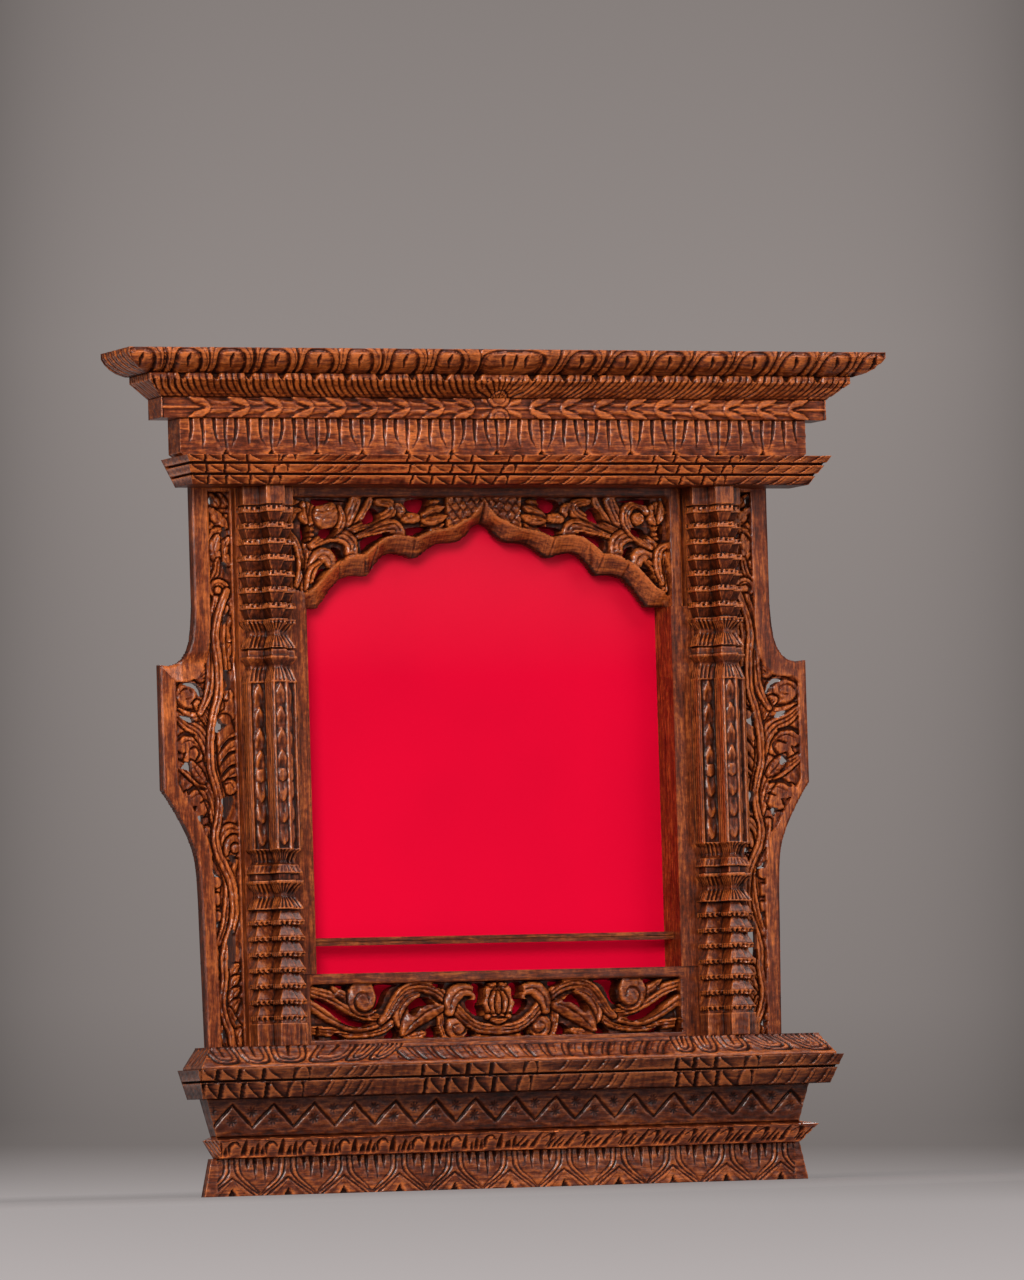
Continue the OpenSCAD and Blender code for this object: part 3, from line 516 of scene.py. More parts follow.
def new_grid(nx, nz):
    """A flat grid of points, and how far across and up it each point lies, 0 to 1."""
    bm = bmesh.new()
    bmesh.ops.create_grid(bm, x_segments=nx, y_segments=nz, size=0.5)
    co = np.array([v.co[:2] for v in bm.verts])
    low, high = co.min(0), co.max(0)
    return bm, (co - low) / (high - low)


def shade_smooth(bm):
    for f in bm.faces:
        f.smooth = True


def only_points(geometry):
    return [part for part in geometry if isinstance(part, bmesh.types.BMVert)]


def doubled(bm):
    """Copies the faces as a back, with walls round the rims between the two, and gives the copy's points."""
    return only_points(bmesh.ops.extrude_face_region(bm, geom=list(bm.faces), use_keep_orig=True)["geom"])


def to_mesh(name, bm, material):
    mesh = bpy.data.meshes.new(name)
    bm.to_mesh(mesh)
    bm.free()
    mesh.materials.append(material)
    return mesh


def placed(name, bm, material):
    """Puts a finished mesh in the scene instead of the CAD node of that name, to ride on the frame."""
    piece = bpy.data.objects.new(name + "_carved", to_mesh(name, bm, material))
    bpy.context.scene.collection.objects.link(piece)
    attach(piece, "frame")
    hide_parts(name)
    return piece


def cross_sections(rows, cell):
    """The heights and plans of a board at every cell, from the few that rows gives."""
    heights, plans = [], []
    for (za, ca), (zb, cb) in zip(rows, rows[1:]):
        ca, cb = np.array(ca, float), np.array(cb, float)
        n = max(1, round(math.hypot(np.abs(cb - ca).max(), zb - za) / cell))
        for i in range(n):
            heights.append(za + (zb - za) * i / n)
            plans.append(ca + (cb - ca) * i / n)
    heights.append(rows[-1][0])
    plans.append(np.array(rows[-1][1], float))
    return np.array(heights), np.array(plans)


def outward_at(z, plan, face, t, level):
    """The direction straight out of a skin at each point; level keeps it in the plan."""
    step = np.diff(plan, axis=1)
    flat = np.stack([step[..., 1], -step[..., 0]], -1) / np.linalg.norm(step, axis=2)[..., None]
    normal = flat[:, face].copy()
    offset = np.sum(plan[:, :-1] * flat, -1)
    length = np.concatenate([[0], np.cumsum(np.maximum(1e-4, np.hypot(
        np.diff(z), np.abs(np.diff(offset, axis=0)).max(1))))])
    rise = np.gradient(z, length)
    out = np.stack([np.gradient(offset[:, k], length) for k in range(offset.shape[1])], 1)
    lean = out[:, face].copy()
    # an arris between two faces points midway between them
    for k in np.nonzero((t == 0) & (face > 0))[0]:
        normal[:, k] = flat[:, face[k] - 1] + flat[:, face[k]]
        lean[:, k] = (out[:, face[k] - 1] + out[:, face[k]]) / 2
    scale = np.maximum(np.hypot(rise[:, None], lean), 1e-6)
    across, upward = rise[:, None] / scale, -lean / scale
    across[[0, -1]], upward[[0, -1]] = 1.0, 0.0
    if level:
        across[:], upward[:] = 1.0, 0.0
    return np.concatenate([normal * across[..., None], upward[..., None]], -1)


def closed_skin(place, wear):
    """A closed mesh: the grid of points in place, with a flat top, foot and back."""
    nz, nx = (n - 1 for n in wear.shape)
    bm, share = new_grid(nx, nz)
    layer = bm.verts.layers.float.new("wear")
    rim = {}
    for v, (i, k) in zip(bm.verts, np.rint(share * [nx, nz]).astype(int)):
        v.co = place[k, i] * MM
        v[layer] = wear[k, i]
        if i in (0, nx) or k in (0, nz):
            rim[i, k] = v
    shade_smooth(bm)
    ends = [[rim[i, k] for i in range(nx + 1)] for k in (0, nz)]
    closing = [bmesh.ops.contextual_create(bm, geom=[end[0], end[-1]])["edges"][0] for end in ends]
    for end, last in zip(ends, closing):
        bmesh.ops.edgeloop_fill(bm, edges=[bm.edges.get(pair) for pair in zip(end, end[1:])] + [last])
    sides = [[rim[i, k] for k in range(nz + 1)] for i in (0, nx)]
    edges = closing + [bm.edges.get(pair) for side in sides for pair in zip(side, side[1:])]
    bmesh.ops.edgeloop_fill(bm, edges=edges)
    bmesh.ops.recalc_face_normals(bm, faces=bm.faces)
    return bm


def wrapped(name, rows, cell, cuts, material, rough=1.0, level=False, tint=None):
    """A board or post as one carved skin that runs from its back edge round the front to the other back edge.

    rows has a height and the corners of the plan there; cuts gives the depth of the carving at each point,
    and tint the painted highlight and shade: how much brighter or darker than its shape says the wood is
    there.
    """
    z, plan = cross_sections(rows, cell)
    width = np.linalg.norm(np.diff(plan, axis=1), axis=2).max(0)
    count = np.maximum(1, np.round(width / cell)).astype(int)
    face = np.concatenate([np.full(n, k) for k, n in enumerate(count)] + [[len(count) - 1]])
    t = np.concatenate([np.arange(n) / n for n in count] + [[1.0]])
    at = plan[:, face] * (1 - t)[None, :, None] + plan[:, face + 1] * t[None, :, None]
    grid_z = np.repeat(z[:, None], len(face), 1)
    grid_face = np.repeat(face[None], len(z), 0)
    depth = cuts(grid_face, at[..., 0], at[..., 1], grid_z)
    ripple = rough * RIPPLE * (np.sin(at[..., 0] * 0.61 + 1.9 * np.sin(grid_z * 0.37) + at[..., 1] * 0.7)
                               + np.sin(grid_z * 1.27 + 2.3 * np.sin(at[..., 0] * 0.29)))
    depth = np.maximum(depth + SKIM + ripple, 0.0)
    depth[:, [0, -1]] = 0.0
    outward = outward_at(z, plan, face, t, level)
    place = np.concatenate([at, grid_z[..., None]], -1) - outward * depth[..., None]
    wear = rubbed_by(place, outward, depth, 2)
    if tint:
        wear = np.clip(wear + tint(grid_face, grid_z), -1.0, 1.0)
    return placed(name, closed_skin(place, wear), material)


def board(name, rows, cuts, material, rough=1.0, level=False, tint=None):
    """A board with mitred ends, from rows of height, half width and front."""
    plans = [(z, [(-half, WALL), (-half, front), (half, front), (half, WALL)]) for z, half, front in rows]
    cell = bpy.context.scene.carving_sizes.board_cell / MM
    return wrapped(name, plans, cell, cuts, material, rough, level, tint)


def drawn_onto(outlines, gx, gz, cell):
    """Moves the grid points within half a cell of an outline onto it."""
    sx, sz = gx.copy(), gz.copy()
    e = 0.02
    for outline in outlines:
        p = np.asarray(outline)
        near = near_box(gx, gz, p, cell * 1.5)
        if not near.any():
            continue
        a, b = gx[near], gz[near]
        d = side_of(a, b, p)
        dx = (side_of(a + e, b, p) - side_of(a - e, b, p)) / (2 * e)
        dz = (side_of(a, b + e, p) - side_of(a, b - e, p)) / (2 * e)
        size = np.maximum(np.hypot(dx, dz), 1e-6)
        pull = np.abs(d) < cell * 0.5
        mx, mz = sx[near], sz[near]
        mx[pull] = (a - d * dx / size)[pull]
        mz[pull] = (b - d * dz / size)[pull]
        sx[near], sz[near] = mx, mz
    return sx, sz


def plate(name, box, cell, front, back, keep, outlines, material):
    """A pierced and carved plate, upright in the x-z plane.

    front gives y and the wear and painted light for points (x, z), back gives y, keep says which cells stay,
    and the rim is drawn onto the outlines.
    """
    (x0, x1), (z0, z1) = box
    nx, nz = round((x1 - x0) / cell), round((z1 - z0) / cell)
    grid = np.meshgrid(np.linspace(x0, x1, nx + 1), np.linspace(z0, z1, nz + 1))
    sx, sz = drawn_onto(outlines, *grid, cell)
    middle_x, middle_z = ((s[:-1, :-1] + s[1:, :-1] + s[:-1, 1:] + s[1:, 1:]) / 4 for s in (sx, sz))
    kept = keep(middle_x, middle_z)
    y, wear = front(sx, sz)
    bm, share = new_grid(nx, nz)
    layer = bm.verts.layers.float.new("wear")
    for v, (i, k) in zip(bm.verts, np.rint(share * [nx, nz]).astype(int)):
        v.co = (sx[k, i] * MM, y[k, i] * MM, sz[k, i] * MM)
        v[layer] = wear[k, i]
        v.index = k * (nx + 1) + i
    away = []
    for f in bm.faces:
        first = min(v.index for v in f.verts)
        if not kept[first // (nx + 1), first % (nx + 1)]:
            away.append(f)
    bmesh.ops.delete(bm, geom=away, context="FACES")
    shade_smooth(bm)
    behind = doubled(bm)
    bx, bz = np.array([v.co.x for v in behind]) / MM, np.array([v.co.z for v in behind]) / MM
    for v, rear in zip(behind, back(bx, bz)):
        v.co.y = rear * MM
        v[layer] = HOLLOW_WEAR
    bmesh.ops.recalc_face_normals(bm, faces=bm.faces)
    for e in bm.edges:
        if e.calc_face_angle(0.0) > SHARP:
            e.smooth = False
    return placed(name, bm, material)


# ---- the applied boards: how each one is cut ----


def crown_cuts(face, x, y, z):
    """Egg lobes in a shell, with a comma gouge in each lobe, and plain flutes on the mitred ends."""
    middle = 8  # the broad lobe
    lean = 0.22 * (z - Z_CROWN) * np.tanh(x / 25)
    real = x - lean + wander(x, z, 0.6)
    centres = [-236, -206, -178.5, -150, -123, -96.5, -67.5, -39, 1, 44, 74, 102, 130, 158, 186, 213, 238]
    v, i = nearest(real, centres)
    half = np.where(i == middle, 18.0, 8.2 + 0.9 * uneven(i, 1))
    foot, top, fullness = 491.0, 500.4 + 0.5 * uneven(i, 2), 2.6
    # 1 on the outline of a lobe, less inside it
    e = (np.abs(v / half) ** fullness + np.clip((z - foot) / (top - foot), 0, 9) ** fullness) ** (1
                                                                                                  / fullness)
    d = (e - 1) * np.minimum(half, 9.0)
    following = np.asarray(centres[1:] + centres[-1:])
    gap = (following[i] - np.asarray(centres)[i]) / 2
    depth = deepest(2.0 * mound(d - 0.9, 1.05),
                    1.15 * mound(d - 4.1, 0.65) * smooth(488.5, 491, z),
                    np.where(d > 1.6, 0.35 + 0.3 * mound(d - 2.6, 1.0), 0),
                    np.where(d < 0.2, 1.7 * np.clip(e, 0, 1.05) ** 5, 0),
                    2.2 * vee(np.abs(v) - np.abs(gap), 1.5) * (i != middle))
    for k, c in enumerate(centres):
        s = 1 if c < 0 else -1
        if k == middle:
            marks = [[(-5, 499.5), (-6.5, 496), (-5.5, 491.5)], [(9, 499.5), (7.5, 496), (8.5, 491.5)],
                     [(1, 500), (1.5, 490)]]
        else:
            marks = [[(1.9 * s, 499.0), (0.9 * s, 496.8), (-0.5 * s, 494.4), (-0.3 * s, 491.2)]]
        for mark in marks:
            depth = np.maximum(depth, groove(real - c, z, mark, [0.5, 1.5, 0.5], [1.0, 2.1, 0.8]))
    side = np.abs(y + 66)
    run = nearest(side - 0.35 * (z - Z_CROWN), np.arange(2, 60, 8.6))[0]
    ends = 1.5 * mound(run, 1.3) + 0.7 * mound(run - 4.3, 0.8)
    return np.where(face == FRONT, depth, ends)


def crown_painted_highlight(face, z):
    """A painted highlight along the upper edge of the crown's front."""
    return 0.45 * smooth(495.0, 500.0, z) * (face == FRONT)


def cyma_cuts(face, x, y, z):
    """Curved flutes in groups of five under small notches, and a fan of petals in the middle."""
    pitch, height = 21.0, 13.2
    t = np.clip((z - Z_CYMA) / height, 0, 1)
    bend = 9.6 * (1 - t) ** 2.5
    ax = np.abs(x)
    real = ax + bend + wander(x, z, 0.3) * 1.4
    unit, i = nearest(real - 18.0, pitch * np.arange(-1, 12))
    run, k = nearest(unit, np.arange(-10.5, 11, 4.2))
    flute = i * 5 + k
    mark = uneven(flute, 3)
    reach = smooth(0.0, 0.25, t + 0.3 * uneven(flute, 8)) * \
        (1 - smooth(0.80, 0.98, t + 0.28 * uneven(flute, 9)))
    width = (0.78 + 0.6 * mark) * (0.3 + 0.7 * reach)
    depth = (1.8 + 1.0 * uneven(flute, 4)) * vee(run, width) * (0.4 + 0.6 * reach)
    depth += 0.35 * mound(run, 2.3)
    fork = nearest(unit + 1.1 * (1 - t), np.arange(-8.2, 9, 4.2))[0]
    v = nearest(ax - 18.0, pitch * np.arange(0, 10))[0]
    notch = 3.3 * (z - 482.8) / 5.0 - np.abs(v)
    depth = deepest(depth,
                    0.9 * vee(fork, 0.7) * (mark > 0.27) * smooth(0.3, 0.5, t) * (1 - smooth(0.75, 0.9, t)),
                    np.clip(notch * 2.6, 0, 3.6))
    fan = ax < 15.5 - 7 * t
    fan_z = 472.0
    angle = np.arctan2(x, z - fan_z)
    petals = 1.5 * mound(nearest(angle, np.arange(-1.5, 1.6, 0.30))[0], 0.055) + \
        1.4 * mound(np.hypot(x, z - fan_z) - 6.5, 0.6)
    depth = np.where(fan & (z < 486.5), petals, depth)
    run = nearest(np.abs(y + 52) - 0.2 * (z - Z_CYMA), np.arange(3, 50, 7.2))[0]
    ends = 1.3 * mound(run, 0.9) + 0.5 * mound(run - 3.4, 0.6)
    return np.where(face == FRONT, depth, ends)


CHAIN_NODES = [-190, -165, -144, -124, -103, -83, -62, -40, -20, 25, 45, 67, 88, 107, 131, 153, 175, 196]


def chain_cuts(face, x, y, z):
    """A chain of bell flowers that runs from a medallion in the middle to both ends."""
    mid, ground = 468.8, 1.6
    depth = np.full(x.shape, ground)
    v, i = nearest(x, [(a + b) / 2 for a, b in zip(CHAIN_NODES, CHAIN_NODES[1:])])
    for row, sign in ((472.6, 1), (465.2, -1)):
        arc = row - sign * 1.7 * (1 - (v / 10.0) ** 2) + 0.5 * uneven(i, 5)
        leaf = mound(z - arc, 1.7) ** 0.6 * mound(v, 13.0) ** 0.3
        depth = np.minimum(depth, ground - 1.15 * leaf)
        depth = np.maximum(depth, 2.1 * mound(z - arc + sign * 2.1, 0.7) * mound(v, 11) ** 0.4)
    depth = np.minimum(depth, ground - 0.9 * mound(z - mid, 0.9))
    for c in CHAIN_NODES:
        s = 1.0 if c > 2 else -1.0
        near = np.abs(x - c) < 15
        v, w = (x[near] - c) * s, z[near]
        here = depth[near]
        for k in (1, -1):
            petal, behind, outer = (curve([(a, mid + b * k) for a, b in points], 4) for points in (
                [(-4.0, 0.2), (-1.6, 2.2), (2.6, 4.3), (9.0, 5.9)],
                [(-0.6, 0.2), (3.4, 1.2), (8.5, 2.8)],
                [(-5.2, 1.2), (-3.6, 3.6), (0.6, 6.2)]))
            d, q = along(v, w, petal)
            e = np.abs(d) / tapered([0.9, 2.5, 3.0, 2.4, 0.6], q)
            here = deepest(np.where(e < 1, 0.05 + 0.9 * e ** 3, here),
                           groove(v, w, behind, [0.9, 1.2, 0.3], [2.1, 2.0, 0.7]),
                           groove(v, w, outer, [0.4, 0.7, 0.6], [0.6, 1.4, 1.2]))
        depth[near] = here
    # the medallion: two lined scales, one over the other
    near = np.abs(x) < 11
    v, w = x[near] - 0.5, z[near]
    for low, r in ((475.2, 7.0), (462.9, 6.5)):
        e = np.hypot(v / r, (w - low) / 6.2)
        depth[near] = deepest(np.where(e < 1, 0.25 + 0.5 * e ** 4, depth[near]),
                              1.9 * mound((e - 1.08) * 6, 0.7),
                              np.where(e < 1, 0.9 * mound((e - 0.62) * 6, 0.5), 0))
    return np.where(face == FRONT, depth, 0.1 * np.abs(np.sin(z * 2.1)))


def tongue_cuts(face, x, y, z):
    """Lotus tongues: a dark triangle and a groove between two, curved grooves beside it, one down each."""
    pitch = 29.2
    real = x + wander(x, z, 0.9) * 0.9
    v, i = nearest(real, pitch * np.arange(-7, 8))
    w = np.abs(v)
    m, k = nearest(real, pitch * np.arange(-7, 7) + pitch / 2)
    foot = 443.5 + 2.0 * uneven(k, 7)
    side = [(7.4, 463), (7.2, 456), (6.2, 450.5), (4.3, 446.5), (3.2, 444.6)]
    depth = deepest(
        0.35 * mound(v, 6),
        groove(v, z, [(0, 463), (0, 452), (0, 443)], [1.45, 1.1, 0.5], [1.9, 1.7, 0.9]),
        np.where(w < 3.4 * (1 - (z - Z_FLUTE) / 5.2), 3.3, 0),
        groove(w + 0.8 * uneven(i, 6), z, side, [1.45, 1.2, 0.9, 0.35], [1.7, 1.5, 1.0, 0.4]),
        1.7 * smooth(foot, foot + 8, z) * mound(m, 0.45 + 1.05 * smooth(foot, 463, z)) * (z > foot))
    skip = (np.abs(x) > 199) | (z < 439.3) & (w > 4)
    depth = np.where(skip, 0.25, depth)
    return np.where(face == FRONT, depth, 0.15 + 0.2 * np.abs(np.sin(y * 1.7 + z * 0.4)))


def saw(z, low, high, deep):
    """A saw cut between two heights."""
    return np.where((z > low - 0.01) & (z < high + 0.01), deep, 0.0)


# the steps of two boards, as their lower and upper edges, and the runs of the rope on each: the edges of its
# hooked blocks, its bud, the edges of its leaves, and how far a step moves the blocks
UPPER_TIERS = [(Z_DENTIL, 427.2), (428.8, 433.3), (435.0, Z_FLUTE)]
SILL_TIERS = [(Z_SD, 67.3), (68.9, Z_SL)]
UPPER_RUNS = [
    ([-206, -194, -182.5, -167.3, -151.2], (-150.6, -143), [-142.6, -127, -115.8, -107, -99.5], 1.3),
    ([-64.5, -51.3, -37.3, -23.2, -4.6], (-4, 3.7), [4.1, 16.8, 30, 42.3, 53.6, 62.5], 3.4),
    ([96.6, 110.8, 125.6, 140.2], (140.8, 146.9), [147.3, 161, 172.6, 183.4, 195, 207], 4.4)]
SILL_RUNS = [
    ([-206.4, -194.4, -180.5, -165.2, -149.5], (-148.4, -139.6), [-139.2, -125, -114, -104.5, -98], 3.4),
    ([-64, -50, -34.6, -19.3, -1.6], (-0.7, 7), [7.4, 23.5, 37, 48.5, 59, 68], 3.1),
    ([101, 113.2, 127.3, 143.6], (144.2, 152.3), [152.8, 168, 179, 190, 200, 212], 2.6)]


def rope_cuts(x, z, tiers, runs, deep, gap, leaf_deep):
    """A rope across a board's steps: hooked blocks that lean left, a bud, and leaves that lean right."""
    row = np.searchsorted([t[1] for t in tiers[:-1]], z)
    low, high = np.asarray([t[0] for t in tiers])[row], np.asarray([t[1] for t in tiers])[row]
    t = np.clip((z - low) / (high - low), 0, 1)
    step = row - (len(tiers) - 1) / 2
    depth = 0.2 + 0.25 * mound(nearest(x + 3 * step, np.arange(-210, 215, 7.0))[0], 1.6)
    for blocks, bud, leaves, shift in runs:
        lean = x + shift * step
        for i, (a, b) in enumerate(zip(blocks, blocks[1:])):
            width = b - a
            u = lean - a
            hook = 1.6 + min(0.72 * width, 9.0) * (1 - t) ** 1.5 + 0.5 * uneven(i, a)
            scoop = deep * (1 - 0.55 * np.clip((u - hook) / (width - hook), 0, 1)) * smooth(0, 0.6, u - hook)
            inside = (u > 0) & (lean < b + (b == blocks[-1]) * (3 + (2.6 + shift) * step))
            depth = np.where(inside, 0.1 + scoop, depth)
            depth = np.where(np.abs(u) < gap, deep + 1.0, depth)
        lean = x - 2.6 * step
        m = (2 * lean - bud[0] - bud[1]) / (bud[1] - bud[0])
        dome = np.clip(1 - (m / 1.02) ** 2 - 0.8 * t ** 2, 0, 1)
        depth = np.where(np.abs(m) < 1.3, 1.9 - 1.8 * smooth(0, 0.12, dome), depth)
        for i, (a, b) in enumerate(zip(leaves, leaves[1:])):
            sweep = 6.4 * (np.sqrt(t) - 0.6)
            left, right = a + sweep * (i > 0), b + sweep
            leaf = 0.1 + leaf_deep * np.clip(1 - (right - lean) / (0.7 * (b - a)), 0, 1) ** 1.5
            leaf = np.maximum(leaf, 0.8 * vee(lean - left - 2.2, 0.7) * (i > 0))
            depth = np.where((lean > left) & (lean <= right), leaf, depth)
    return depth


def upper_dentil_cuts(face, x, y, z):
    """A rope over three steps, with a saw cut under each of the upper two, that flares out to its ends."""
    flare = np.tanh(x / 60) * -0.30 * (z - 430) * (np.abs(x) > 150)
    depth = rope_cuts(x + flare, z, UPPER_TIERS, UPPER_RUNS, 1.7, 0.7, 1.5)
    depth = np.where(face == FRONT, depth, 0.12 * np.abs(np.sin(z * 1.3 + y * 0.5)))
    return deepest(depth, saw(z, 427.25, 428.75, 3.2), saw(z, 433.36, 434.96, 3.2))


def sill_dentil_cuts(face, x, y, z):
    """A rope over two steps with a saw cut between them."""
    depth = rope_cuts(x, z, SILL_TIERS, SILL_RUNS, 2.5, 1.3, 1.3)
    depth = np.where(face == FRONT, depth, 0.12 * np.abs(np.sin(z * 1.1 + y * 0.4)))
    return np.maximum(depth, saw(z, 67.4, 68.8, 3.4))


def sill_leaf_cuts(face, x, y, z):
    """A sloping top with slanted gadroons in the middle and large double-lined leaves toward the ends."""
    slope_foot, slope_height = 76.6, 11.1
    real = x + wander(x, z, 1.4)
    t = np.clip((z - slope_foot) / slope_height, 0, 1)
    mid = (real > -80) & (real < 99.5)
    lean = np.interp(real, [-84, -10, 20, 40, 104], [9.5, 8.0, 3.0, -2.0, -9.0]) * t
    run = nearest(real + lean + 1.5 * np.sin(3.0 * t), np.arange(-100, 125, 11.6))[0]
    reed = 0.2 + 1.2 * np.clip(np.abs(run) / 5.8, 0, 1) ** 2.5
    cut = 2.2 * vee(np.abs(run) - 5.8, 1.3) + 1.5 * vee(run - 2.0, 1.0) * smooth(0.1, 0.35, t) + \
        1.0 * vee(run + 2.6, 0.8) * smooth(0.25, 0.5, t)
    inner = np.maximum(reed, cut) * smooth(0.10, 0.20, t) * (1 - smooth(0.88, 0.93, t))
    depth = np.where(mid, np.maximum(inner, mound(t - 0.91, 0.035)), 0.0)
    # leaves: nested lines that come down from the top edge and turn inward at the foot
    leaves = [(-200, -180, 3, 1), (-180, -160, 2, 1), (-160, -137, 0, 1), (-137, -111, -7, 1),
              (-113, -97, -8, 1), (-98, -83, -9, 1), (100, 115, 1, 1), (115, 130, 2, 1), (131, 151, 3, 1),
              (153, 178, 9, 3), (180, 203, 8, 3)]
    for k, (a, b, tilt, count) in enumerate(leaves):
        c, half = (a + b) / 2, (b - a) / 2
        v, w = real - c + tilt * (t - 0.5) * 2, t * slope_height
        near = np.abs(v) < half + 2
        foot = 2.4 + 0.8 * uneven(k, 9)
        for n in range(count + 1):
            r = half - 1.0 - 3.6 * n
            if r < 1.2:
                break
            low = foot + 1.6 * n
            side = [(-r, 12.5), (-r * 0.98, 7.0), (-r * 0.72, low + 0.9), (0, low),
                    (r * 0.72, low + 0.9), (r * 0.98, 7.0), (r, 12.5)]
            line = groove(v[near], w[near], curve(side, 3), 0.95 - 0.2 * n, 1.7 - 0.55 * n)
            depth[near] = np.maximum(depth[near], line)
        rib = groove(v[near], w[near], [(0.4, 12.5), (-0.6, foot + 3.8)], [1.5, 0.4], [1.9, 0.8])
        depth[near] = np.maximum(depth[near], rib)
        inside = near & (np.abs(v) < half - 1) & (w > foot)
        depth[inside] = np.maximum(depth[inside], 0.5 * (np.abs(v[inside]) / half) ** 2)
    ends = 0.9 * mound(nearest(np.abs(y + 45) + 3 * t, np.arange(4, 30, 6.5))[0], 0.8) * smooth(0.05, 0.2, t)
    return np.where(face == FRONT, depth, ends)


def frieze_cuts(face, x, y, z):
    """A zigzag of gouge strokes with a punched star in each triangle."""
    pitch, rise = 26.0, 13.8
    half = pitch / 2
    real = x + wander(x, z, 2.2) * 1.2
    v, i = nearest(real - 2.5, pitch * np.arange(-8, 9))
    inner = np.abs(real) < 192
    up = 54.2 - np.abs(v) * (rise / half)
    d = (z - up) * 0.686  # measured square to the stroke
    t = np.clip(np.abs(v) / half, 0, 1)
    width = 0.6 + 0.8 * np.sin(np.pi * np.clip(t * 0.9 + 0.05, 0, 1)) + 0.3 * uneven(i, 2)
    depth = 1.8 * vee(d, width) * inner
    for row, shift in ((45.0, 2.5), (50.2, 15.5)):
        p, k = nearest(real - shift, pitch * np.arange(-8, 8))
        q = z - row - 1.2 * uneven(k, 4)
        p = p + 1.5 * uneven(k, 5)
        r = np.hypot(p, q)
        turn = np.arctan2(q, p) + uneven(k, 6)
        ray = nearest(turn, np.arange(-4 * math.pi, 4 * math.pi, math.pi / 4))[0] * r
        star = 0.8 * mound(ray, 0.7) * (1 - smooth(2.4, 3.6, r))
        depth = np.maximum(depth, star * inner)
    return np.where(face == FRONT, depth, 0.0)


def gadroon_cuts(face, x, y, z):
    """Hooked thumb lobes and dark pointed teeth that rise from the foot and lean outward."""
    pitch = 23.5
    t = np.clip((z - Z_GAD) / 10.9, 0, 1)
    a = np.abs(x) + wander(x, z, 3.0) - 5.0 * t
    v, i = nearest(a, pitch * np.arange(10) - 8.0)
    v = v + 1.2 * uneven(i, 1)
    w = z - Z_GAD
    depth = 0.15 * mound(v, 6)
    teeth = ((-6.0, 10.4, 1.9), (5.6, 7.0, 1.5), (9.0, 9.0, 1.6), (12.4, 6.2, 1.5))
    for c, top, wide in teeth:
        q = np.where(v < c - pitch / 2, v + pitch - c, v - c)
        tip = top + 1.4 * uneven(i, c)
        r = np.clip((tip - w) / tip, 0, 1)
        tooth = mound(q + 1.4 * t, 0.2 + wide * np.sin(np.pi * r ** 0.7 * 0.62))
        depth = np.maximum(depth, 2.5 * np.sqrt(r) * tooth * (w < tip) * smooth(0.3, 1.6, w))
    hook = curve([(-3.6, 6.2), (-1.6, 8.4), (1.2, 8.0), (2.9, 5.6), (3.0, 2.2)], 4)
    line = 33.9 + 0.5 * np.sin(x * 0.27) + 0.3 * np.sin(x * 0.71 + 1)
    depth = deepest(depth, groove(v, w, hook, [0.5, 1.1, 1.5, 0.8], [1.2, 2.0, 2.4, 1.4]),
                    np.where(z > line, 1.1, 0))
    ends = 1.6 * mound(nearest(np.abs(y + 44) - 3 * t, np.arange(2, 30, 6.0))[0], 0.9) * (z < line)
    return np.where(face == FRONT, depth, ends)


def lotus_cuts(face, x, y, z):
    """Lotus petals with a raised double line round each, and tapering flutes that hang from the top."""
    pitch = 35.75
    real = x + wander(x, z, 4.1) * 0.8
    w = np.abs(nearest(real, pitch * np.arange(-5, 6))[0])
    inner = np.abs(real) < 188
    outer = curve([(1.8, 24), (2.0, 17), (2.8, 13), (6.2, 8.6), (11.0, 4.8), (15.5, 1.6), (17.8, -0.5)], 4)
    band = curve([(5.2, 24), (5.4, 16), (6.8, 11.8), (10.6, 8.0), (14.5, 4.4), (17.9, 0.9)], 4)
    raised = curve([(3.5, 24), (3.7, 16.5), (4.8, 12.4), (8.4, 8.3), (12.8, 4.6), (17.0, 1.0)], 4)
    d = np.abs(along(w, z, raised)[0])
    depth = deepest(0.45 * smooth(0.9, 1.8, d), groove(w, z, outer, 0.85, 1.5), groove(w, z, band, 0.75, 1.3))
    under = 10.4 - w * 0.74 - z  # how far a point lies below the spandrel's slanted edge
    depth = deepest(np.where(z < 10.4 - w * 0.74, 0.25 + 0.4 * smooth(0, 4, under), depth),
                    groove(w, z, [(0, 10.8), (7, 5.6), (14, 0.2)], 0.8, 1.7),
                    groove(w, z, [(1.4, 8.0), (5.4, 3.8), (9, 0)], 0.6, 0.9))
    depth = np.where(w < 2.6 * (1 - z / 4.6), 3.4, depth)
    m, k = nearest(real, pitch * np.arange(-6, 6) + pitch / 2)
    for c, foot in ((-3.0, 9.0), (3.4, 6.0), (8.0, 13.0), (-8.0, 13.5)):
        tip = foot + 2.4 * uneven(k, c)
        reach = np.clip((z - tip) / (Z_GAD - tip), 0, 1)
        flute = vee(m - c - 0.8 * uneven(k, c + 1), 0.35 + 2.0 * reach)
        depth = np.maximum(depth, 2.6 * np.sqrt(reach) * flute * (z > tip))
    depth = np.where(inner, depth, 0.2)
    return np.where(face == FRONT, depth, 0.0)


